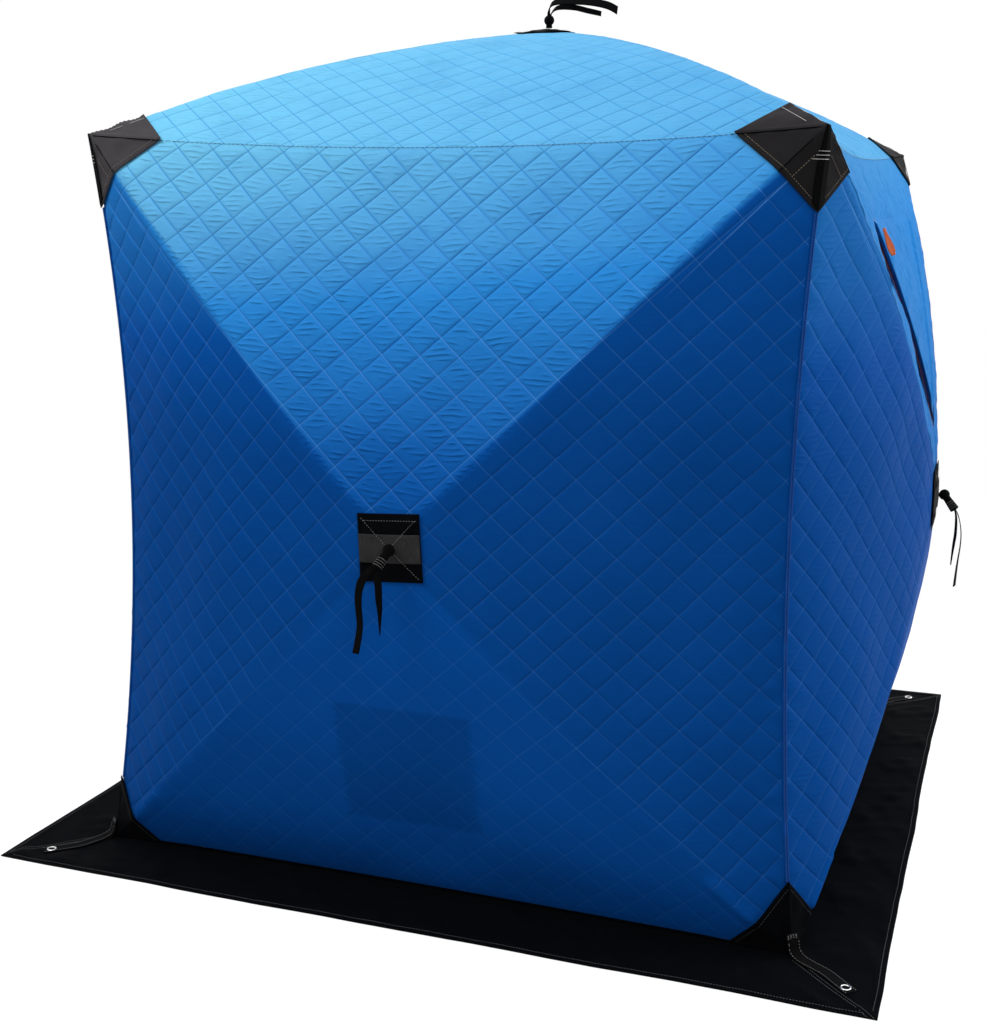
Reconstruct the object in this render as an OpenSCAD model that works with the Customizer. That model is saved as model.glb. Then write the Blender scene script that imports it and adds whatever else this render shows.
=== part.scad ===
// Pop-up insulated ice fishing hut: four quilted walls and a roof, each one pushed out
// by a hub and four bowed poles, with a ground skirt, corner caps and anchor straps.
// Millimetres. The hut stands on z = 0 with its middle on the z axis; the front faces -y.

/* [Frame] */
// Half the distance between two neighbouring lower corners
base_half = 860; // [700:5:1000]
// Half the distance between two neighbouring upper corners
top_half = 845; // [690:5:980]
// Height of the upper corners
corner_z = 1750; // [1500:10:1900]
// Distance of a wall's hub from the middle of the hut
hub_reach = 1055; // [960:5:1150]
// Height of the wall hubs
hub_z = 880; // [780:5:960]
// Height of the roof cloth at its hub
roof_z = 2045; // [1950:5:2200]

/* [Cloth] */
// Thickness of the quilted, filled cloth
cloth_t = 6; // [4:0.5:9]
// How far a wall pole bows outward at its middle
wall_bow = 36; // [25:1:45]
// How far a roof pole bows outward at its middle
roof_bow = 41; // [25:1:50]
// How far an upright seam is drawn in at its middle, along x and along y
side_sag = 48; // [20:1:60]
// How far a roof seam is drawn in and down at its middle
top_sag = 32; // [15:1:45]
// How far the lower edge of a wall is drawn in at its middle
base_sag = 12; // [0:1:25]
// Cells along one side of the net that each sheet of cloth is drawn on
net = 20; // [16:4:20]
// Gap under a layer that is sewn on
layer_gap = 0.8; // [0.7:0.1:0.9]
// Thickness of the sewn-on cloth layers
layer_t = 2; // [1.5:0.1:3]

/* [Corners] */
// Upper cap: length down the upright seam
cap_drop = 170; // [120:5:220]
// Upper cap: length along the roof seams
cap_run = 187; // [130:1:230]
// Lower cap: length up the upright seam
foot_rise = 165; // [120:5:220]
// Lower cap: length along the ground edge
foot_run = 148; // [120:2:170]
// Steps along the side of a cap's net
cap_net = 4; // [3:1:5]
// Width of the binding on an upright seam
bind_w = 9; // [6:0.5:12]
// Thickness of the binding
bind_t = 2.4; // [1.5:0.1:3]

/* [Skirt] */
// Half the width over the outer hems
skirt_half = 1060; // [1000:5:1140]
// Thickness of the skirt cloth
skirt_t = 3; // [2:0.5:4]
// Height to which the skirt is sewn up the wall
skirt_rise = 40; // [25:1:55]
// Extra gap that lets the skirt pass over a lower cap
skirt_step = 2.4; // [2.2:0.1:3]
// Length over which the skirt rises to pass over a lower cap
skirt_ramp = 60; // [50:2:80]
// Width of the turn between the wall and the ground
skirt_turn = 16; // [10:1:24]
// Cells along the skirt
skirt_net = 22; // [16:2:26]

/* [Anchors] */
// Distance of a grommet from the lower corner, outward on the diagonal
anchor_out = 165; // [140:5:180]
// Length of strap beyond the grommet
anchor_tail = 34; // [24:1:40]
// Width of an anchor strap
anchor_w = 40; // [32:1:48]
// Thickness of an anchor strap
anchor_t = 2.5; // [2:0.1:3]
// Height to which the strap is sewn up the corner
anchor_rise = 95; // [70:5:130]
// How far the loose end of a strap rides above the skirt
anchor_lift = 2; // [0.6:0.2:6]
// Radius of the grommet's hole
grommet_r = 6; // [5:0.5:7]
// Radius of the grommet's barrel
barrel_r = 8; // [7.6:0.1:8.6]
// Radius of the grommet's flanges
flange_r = 12; // [11:0.5:14]
// Thickness of one flange
flange_t = 0.8; // [0.6:0.1:1.2]
// Clearance around the barrel and under a flange
grommet_gap = 0.15; // [0.1:0.05:0.3]

/* [Poles] */
// Diameter of a pole
pole_d = 11; // [8:0.5:13]
// Diameter of the tip on a pole's outer end
tip_d = 14.4; // [13.6:0.1:14.8]
// Length of the tip
tip_len = 40; // [25:5:50]
// Gap between a pole's tip or socket and the cloth
pole_gap = 1.4; // [1.2:0.1:2]
// Share of the way from hub to corner at which a pole starts
pole_from = 0.04; // [0.035:0.001:0.045]
// Share of the way from hub to corner at which a pole ends
pole_to = 0.955; // [0.94:0.005:0.96]

/* [Hubs] */
// Radius of the hub body
hub_r = 42; // [36:1:46]
// Thickness of the hub body
hub_t = 22; // [18:1:26]
// Gap between the rim of the hub body and the cloth
hub_back = 4.5; // [3:0.5:8]
// Radius of the boss that holds the pull strap
boss_r = 9; // [7:0.5:12]
// Gap between the boss and the cloth
boss_gap = 0.8; // [0.6:0.1:1.5]
// Outer diameter of a pole socket
socket_d = 14.6; // [14:0.1:15]
// Length of a pole socket past the hub's middle
socket_len = 92; // [70:2:110]
// Clearance of a pole in its socket, on the diameter
socket_gap = 0.3; // [0.2:0.1:0.6]

/* [Hub patches] */
// Half the side of the square patch over a hub
patch_half = 72; // [55:1:85]
// Cells along one side of the patch
patch_net = 6; // [4:2:8]

/* [Pull straps] */
// Width of the strap's webbing
strap_w = 22; // [18:1:26]
// Thickness of the webbing
strap_t = 2.2; // [1.5:0.1:3]
// Radius of the knot
knot_r = 14; // [11:0.5:17]
// Distance of the knot from the patch
knot_out = 24; // [20:1:30]
// Diameter of the twisted neck under the knot
neck_d = 13; // [10:0.5:16]
// Length of the longer hanging tail
tail_long = 220; // [150:5:260]
// Length of the shorter hanging tail
tail_short = 175; // [120:5:200]
// Height of the roof strap's bend above the roof patch
roof_strap_rise = 74; // [60:2:95]
// Length of the roof strap's drooping part
roof_strap_run = 185; // [140:5:220]

/* [Windows] */
// Height of a window's upper edge
win_top = 1540; // [1480:5:1600]
// Height of a window's lower point
win_tip = 1120; // [1080:5:1180]
// Half the width of a window's upper edge
win_half = 400; // [340:5:420]
// Overlap of the cover around the window
win_lap = 26; // [15:1:35]
// Thickness of the cover
cover_t = 3.5; // [2.5:0.5:5]
// Cells along one side of the cover
cover_net = 8; // [7:1:10]
// Width of a zip tape
zip_w = 16; // [12:1:22]
// Gap between the cover's edge and the zip tape
zip_gap = 2; // [1:0.5:4]
// Thickness of a zip
zip_t = 3; // [2:0.5:4]
// Length of a zip pull
pull_len = 80; // [60:5:90]
// Width of a zip pull
pull_w = 20; // [12:1:24]
// Thickness of a zip pull
pull_t = 3; // [2:0.5:4]
// Distance of a window's pull from the window's middle
pull_side = 330; // [200:10:340]
// Gap between a zip pull and what it hangs on
pull_gap = 0.55; // [0.5:0.05:0.6]

/* [Door] */
// Distance of the door's straight edge from the wall's middle
door_edge = 740; // [720:5:760]
// Depth of the door's round edge
door_deep = 330; // [280:5:350]
// Half the height of the door
door_half = 620; // [560:5:640]
// Gap between the door and the wall
door_gap = 9; // [8:0.5:12]
// Width of the door's zip tape
door_zip_w = 30; // [26:1:36]
// Cells up the door
door_net = 20; // [16:2:22]

/* [Pocket] */
// Half the width of the pocket on the inside of the front wall
pocket_half = 162; // [120:1:180]
// Height of the pocket's lower edge
pocket_low = 200; // [180:5:240]
// Height of the pocket's upper edge
pocket_high = 505; // [460:5:520]
// Thickness of the pocket
pocket_t = 3; // [2:0.5:5]

/* [Output] */

/* [Hidden] */

FRONT = [0, -1, 0];
UP = [0, 0, 1];
SKY = [0.29, 0.60, 0.84];
DEEP = [0.20, 0.47, 0.72];
CHARCOAL = [0.13, 0.13, 0.14];
BLACK = [0.07, 0.07, 0.08];
ORANGE = [0.86, 0.37, 0.16];
NICKEL = [0.72, 0.72, 0.70];
GLASS_FIBRE = [0.20, 0.20, 0.21];
layer_top = layer_gap + layer_t;
pole_in = cloth_t + pole_gap + max(socket_d, tip_d) / 2;
strap_z = skirt_t + anchor_lift + flange_t + grommet_gap;
grommet_xy = base_half + anchor_out / sqrt(2);

// General helpers
function mix(p, q, k) = p + (q - p) * k;
function unit(v) = v / norm(v);
function square_to(n, c) = unit(n - (n * unit(c)) * unit(c));
function turned(p, k) = k == 0 ? p : turned([-p.y, p.x, p.z], k - 1);
function clamp(x) = min(1, max(0, x));

// The cloth of one wall or of the roof over u, v from -1 to 1: the hub is at 0, 0, the poles lie
// on the diagonals and the seams on the sides. d is the distance out from the outer face.
function hub_at(roof) = roof ? [0, 0, roof_z] : [0, -hub_reach, hub_z];
function out_of(roof) = roof ? UP : FRONT;
function bow_of(roof) = roof ? roof_bow : wall_bow;
function low_corner(su) = [su * base_half, -base_half, 0];
function top_corner(su, sv) = [su * top_half, sv * top_half, corner_z];
function corner_at(roof, su, sv) =
  roof ? top_corner(su, sv) : (sv > 0 ? top_corner(su, -1) : low_corner(su));
function ridge(roof, c, t) =
  mix(hub_at(roof), c, t)
  + 4 * bow_of(roof) * t * (1 - t) * square_to(out_of(roof), c - hub_at(roof));
function sag_v(roof, sv) =
  roof ? [0, -sv * top_sag, -top_sag] : (sv > 0 ? [0, top_sag, -top_sag] : [0, base_sag, 0]);
function sag_u(roof, su) =
  roof ? [-su * top_sag, 0, -top_sag] : [-su * side_sag, side_sag, 0];
function panel(roof, c1, c2, sag, t, s) =
  mix(ridge(roof, c1, t), ridge(roof, c2, t), s) + 4 * s * (1 - s) * t * t * sag;
function cloth_uv(roof, u, v) =
  max(abs(u), abs(v)) < 0.000001 ? hub_at(roof)
  : abs(v) >= abs(u)
    ? panel(roof, corner_at(roof, -1, sign(v)), corner_at(roof, 1, sign(v)), sag_v(roof, sign(v)),
        abs(v), (u / abs(v) + 1) / 2)
    : panel(roof, corner_at(roof, sign(u), -1), corner_at(roof, sign(u), 1), sag_u(roof, sign(u)),
        abs(u), (v / abs(u) + 1) / 2);
function swell(roof, u, v) =
  out_of(roof) + max(abs(u), abs(v)) * (roof ? [u, v, 0] : [u, 0, max(0, v)]);
function cloth(roof, p, d) = cloth_uv(roof, p[0], p[1]) + d * swell(roof, p[0], p[1]);
function v_of_z(z) = z >= hub_z ? (z - hub_z) / (corner_z - hub_z) : (z - hub_z) / hub_z;

// A closed slab of cloth over a net of u, v points, from distance d_in to distance d_out
function net_points(roof, uv, d) = [for (row = uv) for (p = row) cloth(roof, p, d)];
function cell(a, b, c, d, rising, outer) =
  rising
    ? (outer ? [[a, d, c], [a, c, b]] : [[a, c, d], [a, b, c]])
    : (outer ? [[b, a, d], [b, d, c]] : [[b, d, a], [b, c, d]]);
module slab(uv, d_out, d_in, roof = false) {
  nu = len(uv) - 1;
  nv = len(uv[0]) - 1;
  m = (nu + 1) * (nv + 1);
  function id(k, i, j) = k * m + i * (nv + 1) + j;
  function rising(i, j) = (uv[i][j] + uv[i + 1][j + 1])[0] * (uv[i][j] + uv[i + 1][j + 1])[1] > 0;
  polyhedron(
    points = concat(net_points(roof, uv, d_out), net_points(roof, uv, d_in)),
    faces = [
      for (k = [0, 1]) for (i = [0 : nu - 1]) for (j = [0 : nv - 1])
        each cell(id(k, i, j), id(k, i + 1, j), id(k, i + 1, j + 1), id(k, i, j + 1), rising(i, j), k == 0),
      for (i = [0 : nu - 1])
        each [[id(0, i, 0), id(0, i + 1, 0), id(1, i + 1, 0)], [id(0, i, 0), id(1, i + 1, 0), id(1, i, 0)]],
      for (i = [0 : nu - 1])
        each [[id(0, i, nv), id(1, i + 1, nv), id(0, i + 1, nv)], [id(0, i, nv), id(1, i, nv), id(1, i + 1, nv)]],
      for (j = [0 : nv - 1])
        each [[id(0, 0, j), id(1, 0, j + 1), id(0, 0, j + 1)], [id(0, 0, j), id(1, 0, j), id(1, 0, j + 1)]],
      for (j = [0 : nv - 1])
        each [[id(0, nu, j), id(0, nu, j + 1), id(1, nu, j + 1)], [id(0, nu, j), id(1, nu, j + 1), id(1, nu, j)]]
    ]
  );
}
// A closed band of cloth between an inner and an outer loop of u, v points
module ring_slab(inner, outer, d_out, d_in) {
  n = len(inner);
  polyhedron(
    points = concat(
      [for (p = inner) cloth(false, p, d_out)], [for (p = outer) cloth(false, p, d_out)],
      [for (p = inner) cloth(false, p, d_in)], [for (p = outer) cloth(false, p, d_in)]),
    faces = [
      for (k = [0 : n - 1])
        let (i = k, j = (k + 1) % n)
        each [
          [i, n + i, n + j], [i, n + j, j],
          [2 * n + i, 3 * n + j, 3 * n + i], [2 * n + i, 2 * n + j, 3 * n + j],
          [n + i, 3 * n + i, 3 * n + j], [n + i, 3 * n + j, n + j],
          [i, 2 * n + j, 2 * n + i], [i, j, 2 * n + j]]
    ]
  );
}
function square_net(u0, u1, v0, v1, nu, nv) =
  [for (i = [0 : nu]) [for (j = [0 : nv]) [mix(u0, u1, i / nu), mix(v0, v1, j / nv)]]];
module whole_sheet(roof) {
  slab(square_net(-1, 1, -1, 1, net, net), 0, -cloth_t, roof);
}

// A cap is drawn on triangles from a corner k: r lies on the ridge and e on a seam
function tri_id(i, j) = i * (cap_net + 1) - i * (i - 1) / 2 + j;
function tri_count() = (cap_net + 1) * (cap_net + 2) / 2;
function tri_points(f, d) = [
  for (i = [0 : cap_net]) for (j = [0 : cap_net - i])
    turned(cloth(f[0], f[2] + (f[3] - f[2]) * i / cap_net + (f[4] - f[2]) * j / cap_net, d), f[1])
];
function tri_left(f) =
  (f[3] - f[2])[0] * (f[4] - f[2])[1] - (f[3] - f[2])[1] * (f[4] - f[2])[0] > 0;
function flip(t, yes) = yes ? [t[0], t[2], t[1]] : t;
module cap_skin(fs) {
  n = cap_net;
  m = tri_count();
  polyhedron(
    points = [for (f = fs) each concat(tri_points(f, layer_top), tri_points(f, layer_gap))],
    faces = [
      for (q = [0 : len(fs) - 1]) for (k = [0, 1]) for (i = [0 : n - 1]) for (j = [0 : n - 1 - i])
        let (o = (2 * q + k) * m, back = (k == 0) == tri_left(fs[q]))
        each concat(
          [flip([o + tri_id(i, j), o + tri_id(i + 1, j), o + tri_id(i, j + 1)], back)],
          j < n - 1 - i
            ? [flip([o + tri_id(i + 1, j), o + tri_id(i + 1, j + 1), o + tri_id(i, j + 1)], back)]
            : []),
      for (q = [0 : len(fs) - 1]) for (i = [0 : n - 1])
        let (o = 2 * q * m, w = tri_left(fs[q]), a = tri_id(i, n - i), b = tri_id(i + 1, n - i - 1))
        each [
          flip([o + a, o + b, o + m + b], w),
          flip([o + a, o + m + b, o + m + a], w)],
      for (q = [0 : len(fs) - 1]) if (fs[q][5]) for (j = [0 : n - 1])
        let (o = 2 * q * m, w = tri_left(fs[q]), a = tri_id(0, j), b = tri_id(0, j + 1))
        each [
          flip([o + a, o + b, o + m + b], w),
          flip([o + a, o + m + b, o + m + a], w)]
    ]
  );
}

// A flat ribbon along points, each with its half-width vector
function along(ps, i) = unit(ps[min(i + 1, len(ps) - 1)] - ps[max(i - 1, 0)]);
function ribbon_ring(p, w, t, th) =
  let (n = unit(cross(t, w)) * th / 2)
  [p + w + n, p - w + n, p - w - n, p + w - n];
module ribbon(ps, ws, th) {
  n = len(ps);
  polyhedron(
    points = [for (i = [0 : n - 1]) each ribbon_ring(ps[i], ws[i], along(ps, i), th)],
    faces = [
      [0, 1, 2, 3],
      for (i = [0 : n - 2]) for (k = [0 : 3])
        let (a = 4 * i + k, b = 4 * i + (k + 1) % 4)
        each [[a, a + 4, b + 4], [a, b + 4, b]],
      [4 * n - 1, 4 * n - 2, 4 * n - 3, 4 * n - 4]
    ]
  );
}
function curve(ps, n) = [for (i = [0 : n]) spline(ps, i / n * (len(ps) - 1))];
function spline(ps, x) =
  let (i = min(floor(x), len(ps) - 2), k = x - i)
  let (a = ps[max(i - 1, 0)], b = ps[i], c = ps[i + 1], d = ps[min(i + 2, len(ps) - 1)])
  0.5 * (2 * b + (c - a) * k + (2 * a - 5 * b + 4 * c - d) * k * k + (3 * b - a - 3 * c + d) * k * k * k);

// A round bar between two points, and an arc of a bar through three
module bar(p, q, d) {
  v = q - p;
  translate(p)
    rotate([0, acos(v.z / norm(v)), atan2(v.y, v.x)])
      cylinder(h = norm(v), d = d, $fn = 32);
}
module bowed_bar(p, m, q, d) {
  c = q - p;
  rise = m - (p + q) / 2;
  h = rise - (rise * unit(c)) * unit(c);
  sag = norm(h);
  r = (norm(c) * norm(c) / 4 + sag * sag) / (2 * sag);
  x = unit(h);
  y = unit(c);
  z = cross(x, y);
  o = (p + q) / 2 + x * (sag - r);
  half = asin(norm(c) / 2 / r);
  multmatrix([[x.x, y.x, z.x, o.x], [x.y, y.y, z.y, o.y], [x.z, y.z, z.z, o.z], [0, 0, 0, 1]])
    rotate([0, 0, -half])
      rotate_extrude(angle = 2 * half, $fn = 720)
        translate([r, 0])
          circle(d = d, $fn = 24);
}

// Walls and roof
module window_hole() {
  rotate([90, 0, 0])
    linear_extrude(height = hub_reach + base_half)
      polygon([[-win_half, win_top], [0, win_tip], [win_half, win_top]]);
}
module front_wall() {
  color(SKY) whole_sheet(false);
}
module right_wall() {
  color(DEEP)
    rotate([0, 0, 90])
      difference() {
        whole_sheet(false);
        window_hole();
      }
}
module left_wall() {
  color(DEEP)
    rotate([0, 0, 270])
      difference() {
        whole_sheet(false);
        window_hole();
      }
}
module roof() {
  color(SKY) whole_sheet(true);
}

// The door is drawn in u, v: e moves its whole edge outward
function door_round(v, e) =
  (door_edge - door_deep * sqrt(max(0, 1 - pow(v * hub_z / (door_half + 12), 2))) - e) / base_half;
function door_side(e) = (door_edge + e) / base_half;
function door_v(k, e) = (k * door_half + sign(k) * (abs(k) == 1 ? e : 0)) / hub_z;
function door_rim(e, n) = concat(
  [for (i = [0 : n]) [door_round(door_v(2 * i / n - 1, 0), e), door_v(2 * i / n - 1, e)]],
  [for (i = [0 : n]) [door_side(e), door_v(1 - 2 * i / n, e)]]);
function flat_xz(p) = [p.x, p.z];
module door_prism(e) {
  rotate([90, 0, 0])
    linear_extrude(height = hub_reach + base_half)
      polygon([for (p = door_rim(e, door_net)) flat_xz(cloth(false, p, 0))]);
}
module back_wall() {
  color(SKY)
    rotate([0, 0, 180])
      difference() {
        whole_sheet(false);
        door_prism(door_gap);
      }
}
module door_panel() {
  color(SKY)
    rotate([0, 0, 180])
      slab(
        [for (i = [0 : 4]) [for (j = [0 : door_net])
          let (v = door_v(2 * j / door_net - 1, 0))
          [mix(door_round(v, 0), door_side(0), i / 4), v]]],
        0, -cloth_t);
}
module door_zip() {
  color(BLACK)
    rotate([0, 0, 180])
      ring_slab(
        door_rim(door_gap / 2 - door_zip_w / 2, door_net),
        door_rim(door_gap / 2 + door_zip_w / 2, door_net),
        layer_gap + zip_t, layer_gap);
}

// Window covers, zips and pulls
function win_uv(x, z) = [x / top_half, v_of_z(z)];
win_slope = (win_top - win_tip) / win_half;
lap_tip = win_lap * sqrt(1 + win_slope * win_slope);
function win_edge(k, e) =
  let (tip = win_tip - e * sqrt(1 + win_slope * win_slope), top = win_top + win_lap)
  let (w = (top - tip) / win_slope)
  k <= 0 ? mix(win_uv(-w, top), win_uv(0, tip), k + 1) : mix(win_uv(0, tip), win_uv(w, top), k);
module window_cover() {
  n = cover_net;
  slab(
    [for (i = [-n : n]) [for (j = [0 : n])
      let (p = win_edge(i / n * 0.985, win_lap))
      [p[0], mix(p[1], v_of_z(win_top + win_lap), j / n)]]],
    layer_gap + cover_t, layer_gap);
}
module window_zip() {
  n = cover_net;
  slab(
    [for (i = [-n : n]) [for (j = [1, 0]) win_edge(i / n * 0.97, win_lap + zip_gap + j * zip_w)]],
    layer_gap + zip_t, layer_gap);
}
module right_window_cover() {
  color(DEEP) rotate([0, 0, 90]) window_cover();
}
module left_window_cover() {
  color(DEEP) rotate([0, 0, 270]) window_cover();
}
module right_window_zip() {
  color(BLACK) rotate([0, 0, 90]) window_zip();
}
module left_window_zip() {
  color(BLACK) rotate([0, 0, 270]) window_zip();
}
module pull_at(p, d) {
  a = cloth(false, p, d + pull_t / 2 + pull_gap);
  b = cloth(false, [p[0], p[1] - pull_len / (corner_z - hub_z)], d + pull_t / 2 + pull_gap);
  w = unit(cloth(false, [p[0] + 0.01, p[1]], 0) - cloth(false, [p[0] - 0.01, p[1]], 0)) * pull_w / 2;
  ribbon([a, b], [w, w], pull_t);
}
module zip_pulls() {
  color(ORANGE) {
    for (k = [90, 270])
      rotate([0, 0, k])
        pull_at(win_uv(-pull_side, win_top + win_lap / 2), layer_gap + cover_t);
    rotate([0, 0, 180])
      pull_at([door_side(door_gap / 2), 0.04], layer_gap + zip_t);
  }
}

// Skirt
function skirt_gap(u) =
  layer_gap + skirt_step * clamp((foot_run + skirt_ramp - (1 - abs(u)) * base_half) / (skirt_ramp - 8));
function flat_z(p, z) = [p.x, p.y, z];
function skirt_ring(u) =
  let (g = skirt_gap(u), up = v_of_z(skirt_rise), turn = v_of_z(skirt_t + skirt_turn))
  let (foot = cloth(false, [u, -1], g + skirt_t))
  [
    cloth(false, [u, up], g),
    cloth(false, [u, up], g + skirt_t),
    cloth(false, [u, turn], g + skirt_t),
    flat_z(foot + skirt_turn * [u, -1, 0], skirt_t),
    [u * skirt_half, -skirt_half, skirt_t],
    [u * skirt_half, -skirt_half, 0],
    flat_z(cloth(false, [u, -1], g), 0),
    cloth(false, [u, turn], g)
  ];
ridge_up = 1 - skirt_rise / hub_z;
ridge_turn = 1 - (skirt_t + skirt_turn) / hub_z;
skirt_us = concat(
  [-1, -ridge_turn, -ridge_up],
  [for (i = [0 : skirt_net]) mix(-0.92, 0.92, i / skirt_net)],
  [ridge_up, ridge_turn, 1]);
module skirt() {
  n = len(skirt_us) - 1;
  polyhedron(
    points = [for (u = skirt_us) each skirt_ring(u)],
    faces = [
      [for (k = [0 : 7]) k],
      for (i = [0 : n - 1]) for (k = [0 : 7])
        let (a = 8 * i + k, b = 8 * i + (k + 1) % 8)
        each ((i < n / 2) == (k < 6)
          ? [[a, a + 8, b], [a + 8, b + 8, b]]
          : [[a, a + 8, b + 8], [a, b + 8, b]]),
      [for (k = [7 : -1 : 0]) 8 * n + k]
    ]
  );
}
module front_skirt() {
  color(BLACK) skirt();
}
module right_skirt() {
  color(BLACK) rotate([0, 0, 90]) skirt();
}
module back_skirt() {
  color(BLACK) rotate([0, 0, 180]) skirt();
}
module left_skirt() {
  color(BLACK) rotate([0, 0, 270]) skirt();
}

// Corner caps
cap_e = 2 * cap_drop / corner_z;
cap_f = cap_run / top_half;
cap_r = cap_e * cap_f / (cap_e + cap_f);
roof_r = cap_f / 2;
module top_cap() {
  cap_skin([
    [false, 0, [1, 1], [1 - cap_r, 1 - cap_r], [1, 1 - cap_e], false],
    [false, 0, [1, 1], [1 - cap_r, 1 - cap_r], [1 - cap_f, 1], false],
    [false, 1, [-1, 1], [-1 + cap_r, 1 - cap_r], [-1, 1 - cap_e], false],
    [false, 1, [-1, 1], [-1 + cap_r, 1 - cap_r], [-1 + cap_f, 1], false],
    [true, 0, [1, -1], [1 - roof_r, -1 + roof_r], [1 - cap_f, -1], false],
    [true, 0, [1, -1], [1 - roof_r, -1 + roof_r], [1, -1 + cap_f], false]
  ]);
}
module front_right_cap() {
  color(CHARCOAL) top_cap();
}
module back_right_cap() {
  color(CHARCOAL) rotate([0, 0, 90]) top_cap();
}
module back_left_cap() {
  color(CHARCOAL) rotate([0, 0, 180]) top_cap();
}
module front_left_cap() {
  color(CHARCOAL) rotate([0, 0, 270]) top_cap();
}
foot_e = 2 * foot_rise / corner_z;
foot_f = foot_run / base_half;
foot_r = foot_e * foot_f / (foot_e + foot_f);
module foot_cap() {
  cap_skin([
    [false, 0, [1, -1], [1 - foot_r, -1 + foot_r], [1, -1 + foot_e], false],
    [false, 0, [1, -1], [1 - foot_r, -1 + foot_r], [1 - foot_f, -1], true],
    [false, 1, [-1, -1], [-1 + foot_r, -1 + foot_r], [-1, -1 + foot_e], false],
    [false, 1, [-1, -1], [-1 + foot_r, -1 + foot_r], [-1 + foot_f, -1], true]
  ]);
}
module front_right_foot() {
  color(BLACK) foot_cap();
}
module back_right_foot() {
  color(BLACK) rotate([0, 0, 90]) foot_cap();
}
module back_left_foot() {
  color(BLACK) rotate([0, 0, 180]) foot_cap();
}
module front_left_foot() {
  color(BLACK) rotate([0, 0, 270]) foot_cap();
}

// Bindings on the upright seams
module seam_bindings() {
  color(DEEP)
    for (k = [0 : 3])
      rotate([0, 0, 90 * k]) {
        vs = [for (i = [0 : 16]) mix(-1 + foot_e + 0.01, 1 - cap_e - 0.01, i / 16)];
        ribbon(
          [for (v = vs) cloth(false, [1, v], 0) + (bind_t / 2 + 0.3) * unit([1, -1, 0])],
          [for (v = vs) unit([1, 1, 0]) * bind_w / 2],
          bind_t);
      }
}

// Anchor straps and grommets
function out_xy(q, z) = [base_half + q / sqrt(2), -base_half - q / sqrt(2), z];
function seam_out(z, d) = cloth(false, [1, 2 * z / corner_z - 1], 0) + d * unit([1, -1, 0]);
module anchor_straps() {
  mid = anchor_t / 2;
  lift = (layer_top + skirt_step + skirt_t) * sqrt(2) + 0.6 + mid;
  ps = [
    seam_out(anchor_rise, layer_top * sqrt(2) + 0.6 + mid),
    seam_out(skirt_rise + 14, layer_top * sqrt(2) + 2.4 + mid),
    seam_out(skirt_rise + 1, lift + 0.6),
    seam_out(skirt_turn + 6, lift + 0.8),
    out_xy(skirt_turn * sqrt(2) + lift + 3, strap_z + mid + 5),
    out_xy(skirt_turn * sqrt(2) + lift + 30, strap_z + mid),
    out_xy(anchor_out - flange_r - 4, strap_z + mid),
    out_xy(anchor_out + anchor_tail, strap_z + mid)
  ];
  color(BLACK)
    for (k = [0 : 3])
      rotate([0, 0, 90 * k])
        difference() {
          ribbon(ps, [for (p = ps) unit([1, 1, 0]) * anchor_w / 2], anchor_t);
          translate([grommet_xy, -grommet_xy, 0])
            cylinder(h = 40, r = barrel_r + grommet_gap, $fn = 48);
        }
}
module grommets() {
  z0 = strap_z - grommet_gap - flange_t;
  z1 = strap_z - grommet_gap;
  z2 = strap_z + anchor_t + grommet_gap;
  z3 = strap_z + anchor_t + grommet_gap + flange_t;
  color(NICKEL)
    for (x = [-1, 1], y = [-1, 1])
      translate([x * grommet_xy, y * grommet_xy, 0])
        rotate_extrude($fn = 64)
          polygon([
            [grommet_r, z0], [flange_r, z0], [flange_r, z1], [barrel_r, z1],
            [barrel_r, z2], [flange_r, z2], [flange_r, z3], [grommet_r, z3]
          ]);
}

// Hub patches
module patch(roof) {
  p = patch_half / (roof ? top_half : base_half);
  slab(square_net(-p, p, -p, p, patch_net, patch_net), layer_top, layer_gap, roof);
}
module front_patch() {
  color(BLACK) patch(false);
}
module right_patch() {
  color(BLACK) rotate([0, 0, 90]) patch(false);
}
module back_patch() {
  color(BLACK) rotate([0, 0, 180]) patch(false);
}
module left_patch() {
  color(BLACK) rotate([0, 0, 270]) patch(false);
}
module roof_patch() {
  color(BLACK) patch(true);
}

// Pull straps, drawn with z outward from the patch and y up the wall
module tail(ps, turn) {
  cs = curve(ps, 18);
  ribbon(cs, [for (i = [0 : 18]) [cos(turn * i / 18), 0, sin(turn * i / 18)] * strap_w / 2], strap_t);
}
module knot() {
  cylinder(h = knot_out, d = neck_d, $fn = 32);
  translate([0, 0, knot_out]) sphere(r = knot_r, $fn = 40);
}
module hanging_pull() {
  z = knot_out;
  translate([0, 0, layer_top + 0.3]) {
    knot();
    tail([[0, -2, z + 4], [-3, -18, z + 14], [-7, -0.3 * tail_long, z + 14], [-13, -0.65 * tail_long, z + 8],
      [-19, -tail_long, z + 6]], 24);
    tail([[3, -2, z], [7, -18, z + 6], [9, -0.35 * tail_short, z + 4], [7, -0.7 * tail_short, z - 2],
      [4, -tail_short, z - 2]], -30);
  }
}
module standing_pull() {
  h = roof_strap_rise;
  r = roof_strap_run;
  translate([0, 0, layer_top + 0.3]) {
    knot();
    rotate([0, 0, 90]) {
      tail([[0, 0, knot_out], [0, 2, 0.7 * h], [0, -14, h - 2], [0, -0.3 * r, h], [0, -0.6 * r, h - 4],
        [0, -0.85 * r, h - 14], [0, -r, h - 26]], 14);
      tail([[3, 0, knot_out - 2], [3, -4, 0.55 * h], [5, -22, 0.75 * h], [7, -0.35 * r, 0.74 * h],
        [9, -0.55 * r, 0.62 * h], [10, -0.75 * r, 0.5 * h]], -18);
    }
  }
}
module wall_pull() {
  translate([0, -hub_reach, hub_z]) rotate([90, 0, 0]) hanging_pull();
}
module front_pull() {
  color(BLACK) wall_pull();
}
module right_pull() {
  color(BLACK) rotate([0, 0, 90]) wall_pull();
}
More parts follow.
